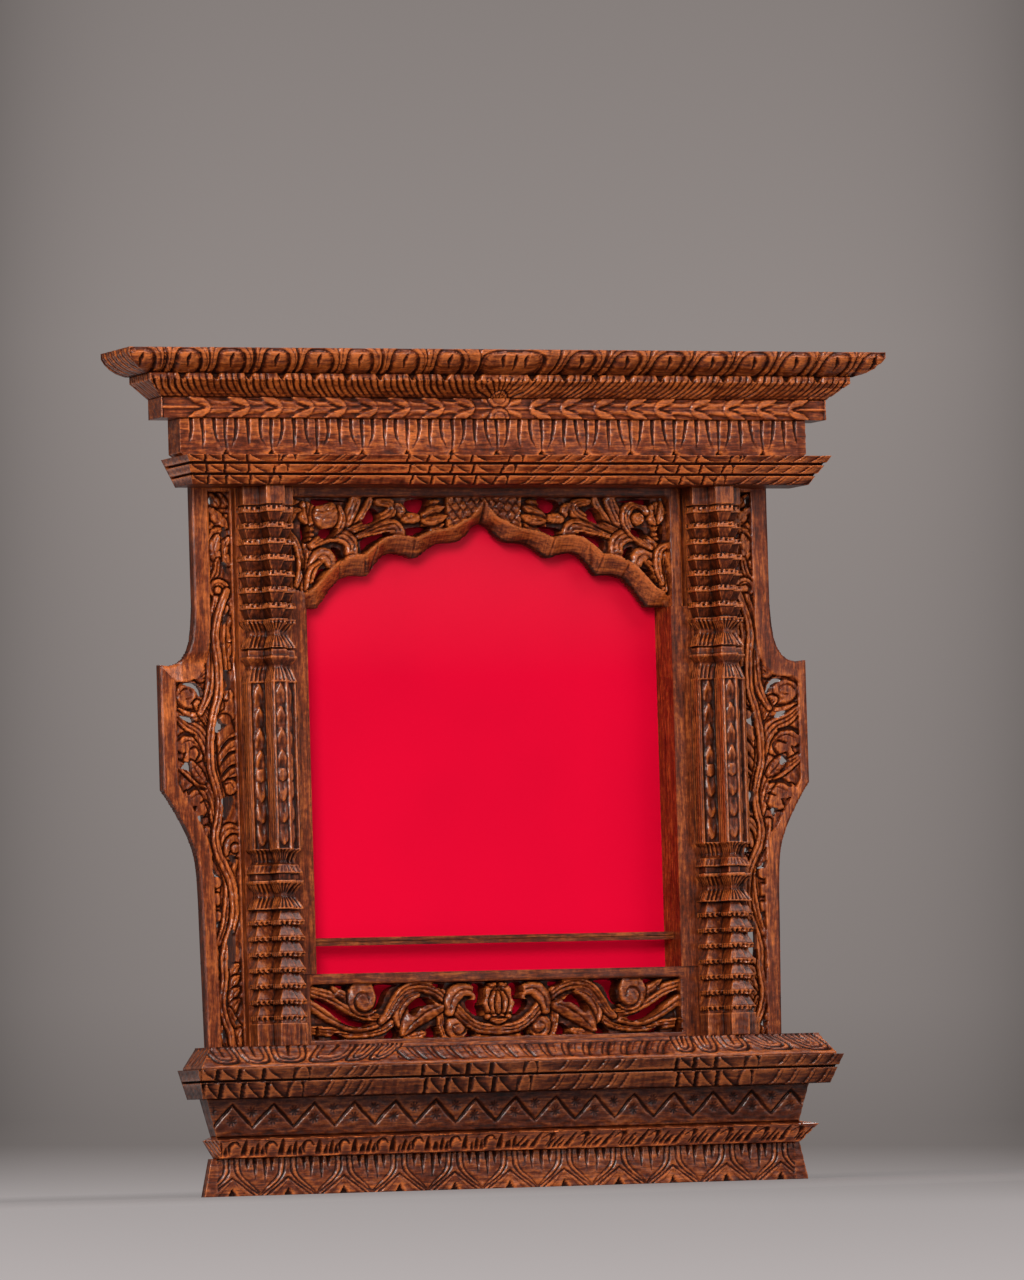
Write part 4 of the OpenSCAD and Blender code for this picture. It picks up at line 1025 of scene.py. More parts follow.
# each board: its name, rows of height, half width and front, cuts, tool marks, and the tone of its wood
BOARDS = [
    ("crown_board", [(Z_CROWN, 231, -51), (489.8, 236.7, -56.7), (492.3, 240.8, -60.8), (495.5, 244, -64),
                     (498.5, 246, -66), (Z_TOP, 246, -66)], crown_cuts, 1.0, 1.0),
    ("cyma_board", [(Z_CYMA, 217.2, -40.6), (483.9, 228.3, -52), (Z_CROWN, 228.3, -52)], cyma_cuts, 0.6, 1.0),
    ("chain_board", [(Z_CHAIN, 216.8, -40.2), (Z_CYMA, 216.8, -40.2)], chain_cuts, 0.7, 1.2),
    ("tongue_board", [(Z_FLUTE, 200.6, -36.4), (441.8, 204.6, -36.4), (Z_CHAIN, 204.6, -36.4)],
     tongue_cuts, 1.0, 1.2),
    ("upper_dentil_board", [(Z_DENTIL, 201, -45.8), (427.2, 203.55, -50.82), (427.3, 203.6, -50.87),
                            (428.7, 204.33, -52.35), (428.8, 204.39, -52.45), (433.3, 206.73, -57.07),
                            (433.4, 206.79, -57.17), (434.9, 207.57, -58.7), (435.0, 207.62, -58.81),
                            (Z_FLUTE, 209.6, -62.7)], upper_dentil_cuts, 0.8, 1.24),
    ("sill_leaf_board", [(Z_SL, 206.2, -49), (76.6, 206.2, -49), (87.7, 198.3, -41.5),
                         (Z_SILL, 198.3, -41.5)],
     sill_leaf_cuts, 0.7, 1.0),
    ("sill_dentil_board", [(Z_SD, 204, -43.8), (67.35, 207.06, -48.53), (67.45, 207.1, -48.58),
                           (68.75, 207.52, -49.24), (68.85, 207.55, -49.29), (Z_SL, 209.7, -52.6)],
     sill_dentil_cuts, 0.8, 0.62),
    ("frieze_board", [(Z_FRIEZE, 189.9, -26.8), (Z_SD, 196.2, -29.2)], frieze_cuts, 1.0, 0.62),
    ("gadroon_moulding", [(Z_GAD, 188.5, -30.5), (33.5, 195.2, -44.5), (Z_FRIEZE, 189.9, -26.8)],
     gadroon_cuts, 0.8, 1.75),
    ("lotus_board", [(0, 196.8, -23), (Z_GAD, 191.8, -22.8)], lotus_cuts, 1.0, 1.0),
]


# ---- the columns ----

# each column has seven flared tiers at its foot and seven at its top, with a shaft between two sets of plates
TIERS, LOW_PITCH, TOP_PITCH = 7, 9.45, 9.63
LOW_T = 103.5
MID_T = LOW_T + TIERS * LOW_PITCH
TOP_T = Z_DENTIL - 12.3 - TIERS * TOP_PITCH
SHAFT_FOOT, SHAFT_TOP = MID_T + 36.0, TOP_T - 37.4
# half widths of the whole column and of the block on it, and how far the two stand out from the stile
COL_HALF, COL_BLOCK, COL_STEP_OUT, COL_BLOCK_OUT = 16.1, 6.0, 12.0, 24.5


def column_steps():
    """Heights of the column's outline, and how far it lies inside full size there."""
    rows = [(Z_SILL, 0), (Z_SILL + 13.45, 0), (Z_SILL + 13.55, 1), (Z_SILL + 14.95, 1)]
    for i in range(TIERS):
        z = LOW_T + i * LOW_PITCH
        rows += [(z + 0.05, 0.3), (z + 0.5, 0), (z + 2.9, 0), (z + 3.05, 0.45), (z + LOW_PITCH - 0.7, 3.0),
                 (z + LOW_PITCH - 0.05, 3.1)]
    rows += [(MID_T + a, b) for a, b in (
        (0.05, 0.3), (0.5, 0), (1.5, 0.1), (4.6, 1.7), (8.2, 4.1), (8.9, 4.1), (11.6, 2.5), (14.5, 0.5),
        (14.8, 0), (17.2, 0), (17.3, 2.4), (21.3, 2.4), (21.4, 0.2), (22.2, 0), (26.6, 2.0), (27.2, 3.4),
        (29.2, 3.7), (33.3, 2.4), (35.1, 0.2))]
    rows += [(TOP_T + a, b) for a, b in (
        (-36.6, 0.2), (-36.0, 0.3), (-31.5, 1.6), (-27.9, 3.1), (-27.3, 3.1), (-23.6, 0.3), (-23.0, 0),
        (-22.3, 0.2), (-21.6, 1.1), (-18.5, 1.1), (-18.0, 2.0), (-17.3, 2.0), (-17.2, 0.1), (-16.4, 0),
        (-13.2, 1.4), (-8.6, 4.0), (-7.9, 4.0), (-4.4, 1.7), (-2.9, 0.4), (-2.8, 0), (-0.05, 0))]
    for i in range(TIERS):
        z = TOP_T + i * TOP_PITCH
        rows += [(z + 0.05, 3.2), (z + 0.8, 3.1), (z + TOP_PITCH - 4.2, 1.3), (z + TOP_PITCH - 3.5, 1.3),
                 (z + TOP_PITCH - 3.4, 0), (z + TOP_PITCH - 0.05, 0)]
    rows += [(Z_DENTIL + a, b) for a, b in ((-12.25, 0), (-12.15, 1.3), (-11.2, 1.3), (-11.1, 0), (0, 0))]
    return rows


def column_plan(r, at):
    """The eight corners of the column, inset by r on every face."""
    a, b = COL_HALF - r, COL_BLOCK - r
    s, f = WALL - COL_STEP_OUT + r, WALL - COL_BLOCK_OUT + r
    return [(at + x, y) for x, y in (
        (-a, WALL), (-a, s), (-b, s), (-b, f), (b, f), (b, s), (a, s), (a, WALL))]


# the beads in the lane of a shaft: the drops of the upper half, those of the lower half and the bead between
# them, each from its lower to its upper end
UPPER_DROPS = [(high - 12.2, high) for high in (304.6, 291.0, 278.0, 265.0)]
LOWER_DROPS = [(low, low + 12.0) for low in (207.6, 220.6, 233.6)]
MIDDLE_BEAD = (245.8, 253.6)
# fans of gouge cuts over the plates and necks: lower edge, upper edge, depth
FANS = ((MID_T + 0.2, MID_T + 8.2, 1.0), (MID_T + 8.9, MID_T + 15.4, 0.9), (MID_T + 21.6, MID_T + 26.4, 0.4),
        (MID_T + 27.6, MID_T + 36.0, 0.8), (TOP_T - 37.2, TOP_T - 28.2, 0.9),
        (TOP_T - 17.3, TOP_T - 8.6, 1.0), (TOP_T - 7.9, TOP_T - 0.4, 1.0))


def tier_cuts(depth, across, z, at):
    """Gouge marks that open the foot of each lower tier, and nicks along the lower edge of each upper one."""
    for i in range(TIERS):
        foot = LOW_T + i * LOW_PITCH
        near = (z > foot - 0.2) & (z < foot + 3.6)
        mark = nearest(across + 0.4 * uneven(i, at), np.arange(-10.2, 11, 3.4))[0]
        hole = mound(np.hypot(mark, np.clip(z - foot - 1.0, 0, 9) * 0.85), 1.35)
        depth = np.where(near, np.maximum(depth, 2.0 * hole), depth)
    for i in range(TIERS):
        top = TOP_T + (i + 1) * TOP_PITCH
        near = (z > top - 2.9) & (z < top + 0.1)
        mark, k = nearest(across + 1.5 * uneven(i, at + 1), np.arange(-13.2, 14, 3.3))
        high = 1.3 + 1.4 * (uneven(k + 7 * i, 3) + 0.5)
        width = 1.15 + 0.7 * uneven(k + 7 * i, 2)
        nick = mound(mark + 0.8 * uneven(k + 5 * i, 4), width) * np.clip((z - top + high) / 0.8, 0, 1)
        depth = np.where(near, np.maximum(depth, 2.0 * nick), depth)
    return depth


def lane_beads(m, z, at):
    """Heights of the beads in a shaft's lane, where m is the distance from the lane's middle."""
    bead = np.zeros(z.shape)
    ends = [*UPPER_DROPS, *LOWER_DROPS, MIDDLE_BEAD]
    for n, (foot, top) in enumerate(ends):
        up = n < len(UPPER_DROPS)
        t = np.clip((z - foot) / (top - foot), 0, 1)
        full = 3.5 + 0.5 * uneven(n, at)
        if ends[n] == MIDDLE_BEAD:
            wide, rise, hollow = full * np.sqrt(np.clip(1 - (2 * t - 1) ** 2, 0, 1)), 1.0, 0.0
        else:
            t = t if up else 1 - t
            point = 1 - np.clip((t - 0.45) / 0.55, 0, 1) ** (1.5 if up else 2.4)
            wide = full * point * (0.8 + 0.2 * smooth(0, 0.4, t))
            rise = 0.5 + 0.5 * smooth(0.1, 0.55, t)
            hollow = 0.5 * mound(m, 0.3 + 2.0 * (1 - t)) * (1 - smooth(0.35, 0.72, t))
        inside = (z > foot) & (z < top) & (np.abs(m) < wide)
        body = rise * np.clip(1 - 0.5 * (m / np.maximum(wide, 0.05)) ** 2, 0, 1)
        bead = np.where(inside, body - hollow, bead)
    return bead


def column_cuts(at):
    """The carving of the column that stands at x = at."""
    steps_z, steps_in = np.array(column_steps()).T

    def cuts(face, x, y, z):
        v = x - at
        w = np.abs(v)
        inset = np.interp(z, steps_z, steps_in)
        # the faces in turn: 0 side, 1 step, 2 block side, 3 front, 4 block side, 5 step, 6 side
        front, block_side = face == 3, (face == 2) | (face == 4)
        steps = (face == 1) | (face == 5)
        # a measure across each face, from its middle, that fans with the face
        across = np.where(front, v * 6.0 / np.maximum(6.0 - inset, 1.5), np.where(
            steps, w - 11.05 + inset, np.where(block_side, y + 35.25 - inset, y + 23 - inset / 2)))
        depth = tier_cuts(np.zeros(x.shape), across, z, at)
        fine = nearest(across, np.arange(-13.5, 14, 2.7))
        gouge = 1.7 * vee(fine[0], 1.25 + 0.4 * uneven(fine[1], at))
        for low, high, deep in FANS:
            inside = (z > low) & (z < high)
            fan = deep * gouge * smooth(low, low + 0.9, z) * (1 - smooth(high - 0.8, high, z))
            depth = np.where(inside, np.maximum(depth, fan), depth)
        # shaft: a sunk lane of beads between upright fillets
        shaft = (z > SHAFT_FOOT) & (z < SHAFT_TOP)
        m = np.where(front, v, w - 9.0)
        half = 3.6
        lane = shaft & (np.abs(m) < half) & (front | steps)
        sunk = 1.5 - 1.35 * lane_beads(m, z, at) + 0.7 * mound(np.abs(m) - half, 0.7)
        depth = np.where(lane, sunk, depth)
        line = np.where(front, 1.3 * vee(w - 4.9, 0.6), 0.0)
        line = np.where(steps, deepest(1.7 * vee(w - 13.0, 0.5), 1.3 * vee(w - 13.6, 0.7),
                                       1.2 * vee(w - 15.0, 0.7)), line)
        reeds = 1.3 * vee(nearest(across, np.arange(-15, 16, 3.0))[0], 0.8)
        line = np.where(~(front | steps), reeds, line)
        return np.where(shaft & ~lane, np.maximum(depth, line), depth)
    return cuts


def column_painted_light(face, z):
    """Painted shade in the hollows under the upper bands, lighter on the front face, and a painted highlight
    on their lower rims.
    """
    up = (z - TOP_T) % TOP_PITCH - TOP_PITCH
    tiers = (z > TOP_T) & (z < TOP_T + TIERS * TOP_PITCH)
    rim = smooth(-3.7, -3.3, up) * (1 - smooth(-2.7, -1.9, up))
    return tiers * (0.34 * rim - np.where(face == 3, 0.2, 0.34) * (1 - smooth(-4.6, -3.6, up)))


def carve_column(name, at, material):
    rows = [(z, column_plan(r, at)) for z, r in column_steps()]
    cell = bpy.context.scene.carving_sizes.column_cell / MM
    return wrapped(name, rows, cell, column_cuts(at), material, 0.7, False, column_painted_light)


# ---- leaf work: stems, leaves, balls and scrolls over a sunk ground ----


class Relief:
    """Heights of carved leaf work over a sunk ground, laid stroke by stroke.

    Lengths are in millimetres, but a stroke's height is given as a share of the ground's depth. A width is
    one number, or a list from one end of the stroke to the other.
    """

    def __init__(self, x, z, ground):
        self.x, self.z, self.ground = x, z, ground
        self.h = np.zeros(x.shape)

    def _near(self, points, reach):
        return near_box(self.x, self.z, np.asarray(points, float), reach)

    def _lay(self, m, e, shape, gap):
        """shape covers what e < 1 says; a narrow gap is cut round it where it lies over other work."""
        deep, middle, width, highest = 0.9, 0.3, 0.85, 2.2
        h = self.h[m]
        h = np.where(gap < 0, h, h - deep * mound(gap - middle, width) * np.minimum(h, highest))
        self.h[m] = np.where(e < 1, np.maximum(shape, np.minimum(h, 0.0)), h)

    def stem(self, points, width, share, lines=1, steps=6):
        """A rounded band with lines cut along it."""
        p = curve(points, steps)
        m = self._near(p, np.max(width) + 1.5)
        if not m.any():
            return
        d, s = along(self.x[m], self.z[m], p)
        w = tapered(width, s)
        e = np.abs(d) / w
        shape = self.ground * share * np.sqrt(np.clip(1 - 0.5 * e ** 4, 0, 1)) * (1 + 0.13 * (d / w - 0.6))
        for k in range(1, lines + 1):
            at = (2 * k / (lines + 1) - 1) * w
            shape -= 1.25 * mound(d - at, 0.58) * smooth(0.0, 0.06, s) * (1 - smooth(0.94, 1.0, s))
        self._lay(m, e, shape, np.abs(d) - w)

    def leaf(self, points, width, share, veins=4, lobes=0, midrib=True):
        """A pointed leaf along a line, with its veins and the line down its middle cut in."""
        p = curve(points, 6)
        m = self._near(p, width * 1.35 + 1.5)
        if not m.any():
            return
        d, s = along(self.x[m], self.z[m], p)
        w = 1.12 * width * np.clip(np.sin(np.pi * np.clip(s, 0.0, 1) ** 0.85), 0.0, 1) ** 0.55
        if lobes:
            w = w * (0.86 + 0.26 * np.abs(np.sin(np.pi * lobes * s + 0.4)))
        w = np.maximum(w, 0.12)
        e = np.abs(d) / w
        shape = self.ground * share * (1 - 0.42 * e ** 2.6 + 0.10 * np.sign(d) * e)
        if midrib:
            shape -= 1.0 * mound(d, 0.5) * (1 - smooth(0.8, 1.0, s))
        if veins:
            phase = s * veins - 0.34 * e
            vein = np.clip(np.cos(2 * np.pi * phase) - 0.62, 0, 1) / 0.38
            shape -= 0.85 * vein * smooth(0.12, 0.4, e) * (e < 1)
        self._lay(m, e, shape, np.abs(d) - w)

    def cut(self, points, width, deep):
        """A knife cut into what has been laid so far."""
        p = curve(points, 6)
        m = self._near(p, np.max(width) + 0.3)
        if m.any():
            d, s = along(self.x[m], self.z[m], p)
            self.h[m] -= tapered(deep, s) * mound(d, np.maximum(tapered(width, s), 0.05))

    def ball(self, x, z, r, share, eye=0.0):
        """A rounded boss; with an eye, a ring and a hole are cut in it."""
        m = self._near([(x, z)], r + 1.5)
        if not m.any():
            return
        d = np.hypot(self.x[m] - x, self.z[m] - z)
        e = d / r
        shape = self.ground * share * np.sqrt(np.clip(1 - 0.6 * e ** 2.4, 0, 1))
        if eye:
            shape -= 1.1 * mound(d - r * 0.58, 0.55)
            shape -= eye * mound(d, r * 0.22)
        self._lay(m, e, shape, d - r)

    def scroll(self, x, z, outer, inner, start, turns, width, share):
        """A strand that winds in clockwise, from outer to inner, to a ball."""
        t = np.linspace(0, 1, int(10 * turns) + 3)
        r = outer + (inner - outer) * t ** 0.85
        a = math.radians(start) - t * turns * 2 * math.pi
        p = np.stack([x + r * np.cos(a), z + r * np.sin(a)], -1)
        self.stem(p, [width, width * 0.62], share, 1, 3)
        self.ball(x, z, max(inner * 0.8, 1.2), share * 0.96)

    def depth(self):
        """Depths below the front, with the marks of the tools."""
        x, z = self.x, self.z
        tool = 0.10 * np.sin(x * 2.3 + 1.7 * np.sin(z * 0.9)) * np.sin(z * 2.1 + 0.8 * x) \
            + 0.40 * np.sin(x * 0.71 + 2.0 * np.sin(z * 0.23)) * np.sin(z * 0.53 + 0.31 * x)
        return np.clip(self.ground - self.h + 0.18 + tool, 0.0, self.ground + 0.5)


# outlines as (x, z) in millimetres, drawn on the right: the two edges of the arch's slanted band, the holes
# that pierce the panels and wings, and the outer and inner edges of a wing's border
ARCH_LOW = [(0, 402), (5.5, 399.5), (9.5, 395), (13.5, 391.5), (18, 390.2), (24, 390), (29, 389.3), (34, 387),
            (39, 383.3), (42.5, 381), (45.5, 380.8), (49.5, 382.4), (54, 383.6), (59.5, 383.8), (64, 382.5),
            (67, 380), (70.5, 376), (73, 372.5), (75, 370), (79, 370.2), (84, 370.4), (89, 369.7), (93, 368),
            (96.5, 365), (100, 361), (104, 355.5), (108, 350.6)]
ARCH_TOP = [(0, 415.5), (3.5, 410), (8.5, 404.5), (14, 402), (20, 399), (27, 397.3), (34, 396.2), (40, 394),
            (45, 392), (50, 393), (57, 393.3), (64, 392.3), (70, 388.5), (75, 384.5), (78, 382), (82, 382),
            (88, 380.5), (94, 378), (99, 374.5), (104, 370), (108, 365.5), (112, 361.5), (117, 359)]
ARCH_HOLES = [
    [(35, 416), (47, 416), (51, 413), (47, 408.5), (39, 408.5)],
    [(34.5, 399), (42, 399.5), (50, 398.3), (51, 395), (46, 394), (41, 395.5)],
    [(67.5, 404), (69, 409.5), (74.5, 410.5), (79.5, 401.5), (74, 401)],
    [(62, 394.2), (63, 396.5), (71, 394.5), (80, 391), (79.5, 386), (78.5, 382.8), (75.5, 386), (69, 391)],
    [(88, 414.5), (98, 416), (111, 416), (109, 412), (104, 412.5), (97, 414.3)],
    [(95.5, 398), (98.5, 393.5), (104, 391.5), (107.5, 393.5), (105.5, 397.5), (100.5, 398.7)],
    [(113.5, 398), (114.5, 390), (117.5, 389.3), (118.6, 394), (118.6, 401), (116, 400.5)],
    [(91.5, 379.5), (92.5, 384), (94, 386.5), (99, 387), (97, 382.5), (94.5, 379.3)],
    [(100.5, 374.6), (104, 374.5), (108, 373.3), (111, 369.5), (111.8, 364), (108, 367.5), (104, 371.8)],
    [(117, 372), (118, 378), (119, 381), (119.6, 374), (118.2, 367)]]
LOW_HOLES = [
    [(8.5, 123), (15.5, 123.5), (16.5, 118), (14.5, 114), (19, 113.5), (20.5, 111), (17.5, 106.5),
     (11, 103.4), (9.2, 105.5), (10.5, 110), (8.3, 114.5), (8, 119)],
    [(34, 123.6), (43, 123.4), (38, 120.4), (35.5, 120.8)],
    [(41.5, 111.2), (45, 115), (50, 116.4), (55, 114.4), (58, 110), (58.6, 106.3), (55, 104.6),
     (52, 108.5), (47, 110.9)],
    [(64, 123.7), (79.5, 123.8), (78.3, 117), (79.5, 111.5), (82.3, 109.4), (77.5, 109.1),
     (74, 112), (72, 117), (69, 121.3)],
    [(97, 123.7), (106, 123.8), (102, 121.4), (99, 120.3)],
    [(83, 100.7), (92, 103.2), (99, 107.6), (107, 112.6), (113.5, 116), (118.3, 116.8),
     (117.5, 113.4), (112, 109.8), (106, 104.6), (99, 100.5), (90, 98.7)],
    [(64.5, 95.2), (68, 98.6), (70.2, 96), (74, 92.4), (70, 91.9), (65, 92)],
    [(98.5, 92), (105, 95.2), (108.5, 94.2), (106.5, 92)],
    [(14, 92), (19, 97.2), (21, 94.3), (20.6, 92)],
    [(38, 92.2), (39.5, 98.4), (44, 98), (46.8, 95), (46.2, 92.2)],
    [(115.3, 92.2), (118.6, 92.4), (118.6, 99), (116.8, 99.5), (116, 95.5)]]
WING_OUT = [(188.3, 424.6), (188.2, 352), (189, 341), (190.2, 332), (192.3, 325.5), (195.5, 320.7),
            (199.5, 317.7), (204, 316.6), (211.2, 317.4), (211.2, 242.5), (208, 238), (203.5, 231),
            (199, 223), (195, 215), (192.2, 207.5), (190.4, 200), (189.4, 190), (188.9, 176), (188.5, 150),
            (187.9, 120), (187.3, 86.5)]
WING_IN = [(164.2, 88.5), (178.2, 88.5), (178.6, 120), (179.4, 150), (179.8, 176), (180.2, 190), (181.2, 203),
           (183.4, 213), (187, 222), (192, 231), (197.5, 239.5), (201.4, 246.5), (201.4, 306.5),
           (193.5, 306.8), (187.5, 309), (183.5, 313.5), (180.6, 320), (178.8, 330), (177.8, 345),
           (177.6, 420.5), (164.2, 420.5)]
WING_HOLES = [
    [(176.4, 418.4), (174, 415.6), (175.6, 411.6), (177, 414.6)],
    [(167.3, 399.5), (166, 394), (169.5, 393.3), (168.4, 398)],
    [(169.6, 378.4), (166.4, 376.6), (166, 371.5), (168, 373)],
    [(170.4, 341.4), (166.4, 350.6), (166, 345), (168.2, 342)],
    [(170.6, 313.2), (169, 304.6), (170, 301.8), (166.2, 301.8), (166.3, 308), (167.4, 313.2)],
    [(196.6, 305.6), (190, 306.3), (185.6, 303.2), (184.3, 297.4), (187, 298.2), (190, 302.4)],
    [(199.4, 286.7), (191, 285.6), (190.3, 282.2), (195.5, 283.6)],
    [(175.2, 286.4), (172.6, 281.9), (169.4, 281.2), (173.6, 277.4), (176.5, 277.2)],
    [(199.3, 256), (193.6, 259.8), (192.4, 253.6), (196.5, 254.3)],
    [(174.4, 236.6), (166.5, 238.2), (167.3, 232.6), (171, 225.3), (172.6, 224), (173.1, 231)],
    [(190, 226.3), (186, 227.2), (186.4, 221.3), (188.6, 223.4)],
    [(170.4, 202.6), (166.2, 202.7), (166.4, 197.9), (169, 199.8)],
    [(181.4, 195.8), (180.4, 190.9), (175.3, 190), (178, 192)],
    [(178.4, 164), (176.8, 161.4), (177.9, 158.8), (179.2, 161)],
    [(172.9, 152), (171.4, 157.1), (168.7, 158.7), (167.6, 153), (167.8, 140.2), (171.8, 135.3), (173, 145)],
    [(168.5, 106.2), (167, 103), (167.6, 99.6), (169.2, 102.6)],
    [(176.8, 99.6), (175.2, 95), (176.6, 91), (178, 95)]]


def mirrored(points):
    return [(-x, z) for x, z in reversed(points)]


def outside_holes(x, z, holes):
    """Which points lie in no hole."""
    free = np.ones(x.shape, bool)
    for hole in holes:
        p = curve(hole, 3, closed=True)
        near = near_box(x, z, p, 0)
        if near.any():
            part = free[near]
            part[side_of(x[near], z[near], p) < 0] = False
            free[near] = part
    return free


def arch_leaves(r, left):
    """The leaf work of one half of the arch panel, drawn on the right."""
    # the stem beside the springing and the edge leaves
    r.leaf([(117.8, 359), (118.4, 372), (117.6, 389)], 2.8, 0.8, 6, lobes=3)
    r.stem([(117.5, 361), (116, 376), (114.6, 390), (113.4, 400), (114.5, 412)], [2.8, 3.2, 3.2, 2.6],
           0.80, 2)
    for z in (391.0, 394.0, 397.0):
        r.leaf([(110.6, z), (114, z + 1.2), (117.6, z)], 1.5, 0.9, 0)
    r.leaf([(113.5, 400), (110.5, 406), (111.5, 413)], 2.4, 0.8, 3)
    r.leaf([(115, 401), (117.6, 407), (117, 415)], 2.4, 0.84, 3)
    # bands that come down from the border and sweep into lobed leaves
    r.stem([(73.5, 415.5), (76, 410.5), (80, 404.5), (86, 398.5)], [2.2, 2.4, 1.8], 0.72, 1)
    r.stem([(83.2, 415.6), (86.2, 408), (90, 401), (94, 394.5)], [3.8, 3.8, 3.0], 0.90, 2)
    r.stem([(88, 396.5), (80, 399.4), (73.5, 401.8), (65, 405), (59.8, 409), (61, 413.4), (69, 414.4)],
           [2.0, 2.6, 3.0, 3.4, 3.2, 2.0], 0.86, 2)
    r.leaf([(53.4, 404.5), (53.8, 410), (57.5, 413.6)], 2.7, 0.80, 3)
    r.stem([(85, 392.6), (74, 396.2), (66, 398.6), (58.6, 399.4), (55.4, 395.4)], [1.5, 2.0, 3.2, 4.6, 4.4],
           0.94, 2)
    r.stem([(112.5, 388), (103, 393), (94, 394.2), (87.2, 390), (86.6, 383.6)], [2.2, 3.2, 4.2, 4.7, 4.2],
           0.98, 2)
    r.stem([(113.6, 367), (111.6, 376), (106.8, 382), (101.6, 381), (99.4, 375.8)], [1.6, 3.2, 4.6, 4.8, 3.4],
           0.9, 1)
    r.stem([(117, 361.5), (114.2, 373), (108, 378.2)], [1.1, 1.3, 0.9], 0.98, 0)
    # the bud between the weave and the bands
    r.leaf([(53.4, 403.4), (46.5, 404.8), (39.6, 404.2)], 3.1, 0.86, 5)
    r.leaf([(40.4, 407), (35.4, 412.2), (28.6, 415.4)], 2.7, 0.78, 2)
    r.leaf([(41, 401), (33, 399.2), (26, 401.2)], 2.6, 0.80, 2)
    r.leaf([(41, 405.2), (33.4, 409), (25.8, 411.6)], 2.9, 0.90, 2)
    r.leaf([(41, 402.8), (32.6, 403.4), (24.2, 406.2)], 3.0, 1.0, 2)
    if left:
        r.leaf([(126.2, 401.4), (123.4, 408.6), (118.2, 409.8)], 2.4, 0.86, 2)
        r.leaf([(126.6, 411.6), (123.6, 414.0), (119.0, 414.6)], 1.6, 0.7, 0)
        r.stem([(126.6, 396), (122.4, 390.4), (119.9, 381), (120.2, 371), (122.8, 364)],
               [1.8, 2.3, 2.4, 2.3, 1.8], 0.84, 1)
        r.ball(102.4, 406.4, 8.6, 1.06)
        for bend in (((96.4, 411.0), (101.5, 409.0), (105.4, 412.6)),
                     ((97.4, 402.6), (102.2, 405.6), (106.8, 402.4)),
                     ((100.2, 413.6), (103.6, 408.6), (109.4, 408.8)),
                     ((105.6, 399.2), (105.4, 404.6), (110.0, 405.6))):
            r.cut(bend, 0.55, 0.55)
        r.stem([(93.6, 411), (92.0, 404.6), (93.6, 399), (98.6, 395)], [1.4, 2.2, 2.5, 2.0], 0.98, 1)
    else:
        r.stem([(109.5, 386.4), (102.6, 391.4), (95.6, 398.4), (93.2, 406), (97.4, 412.2), (103.6, 412.4),
                (107.2, 407.6)], [1.8, 2.8, 3.2, 3.5, 3.5, 2.6, 1.5], 1.0, 2)
        r.ball(101.6, 404.2, 4.0, 1.06, 0.6)
        r.stem([(116.6, 365), (113.8, 375), (115.2, 384.4), (119.6, 387.6)], [1.8, 2.6, 3.0, 1.8], 1.0, 1)


def weave(x, z, top, size):
    """Plaited cane laid on the slant: small raised pads, each row set half a pad over."""
    half_diagonal, narrower = 0.7071, 0.72
    a, b = (x + z) * half_diagonal, (z - x) * half_diagonal
    row = np.floor(b / (size * narrower))
    u = a / size + 0.5 * (row % 2)
    p = (u - np.floor(u) - 0.5) * size
    q = (b / (size * narrower) - row - 0.5) * size * narrower
    pad = np.clip(1 - np.abs(p / (size * 0.49)) ** 6, 0, 1) * \
        np.clip(1 - np.abs(q / (size * 0.345)) ** 6, 0, 1)
    return top * (0.55 + 0.30 * pad + 0.10 * p / size)


def lapped(x, y):
    """Keeps wood behind the carving where a panel is thinned to lap over the stile."""
    return np.where(np.abs(x) > 118.0, np.minimum(y, LAP_BACK - 0.8), y)


def panel_back(x, z):
    """A panel's back, which is cut away where the panel laps over the stile."""
    return np.where(np.abs(x) > LAP_HALF, LAP_BACK, PANEL_BACK)


def border_marks(x, z):
    """The depth of the plane's marks on a plain border."""
    return 0.35 + 0.10 * np.sin(x * 0.21 + z * 0.13)


def both_sides(holes):
    """The outlines of the holes on the right and of their mirror images."""
    return [c for hole in holes for c in (curve(hole, 3, True), curve(mirrored(hole), 3, True))]


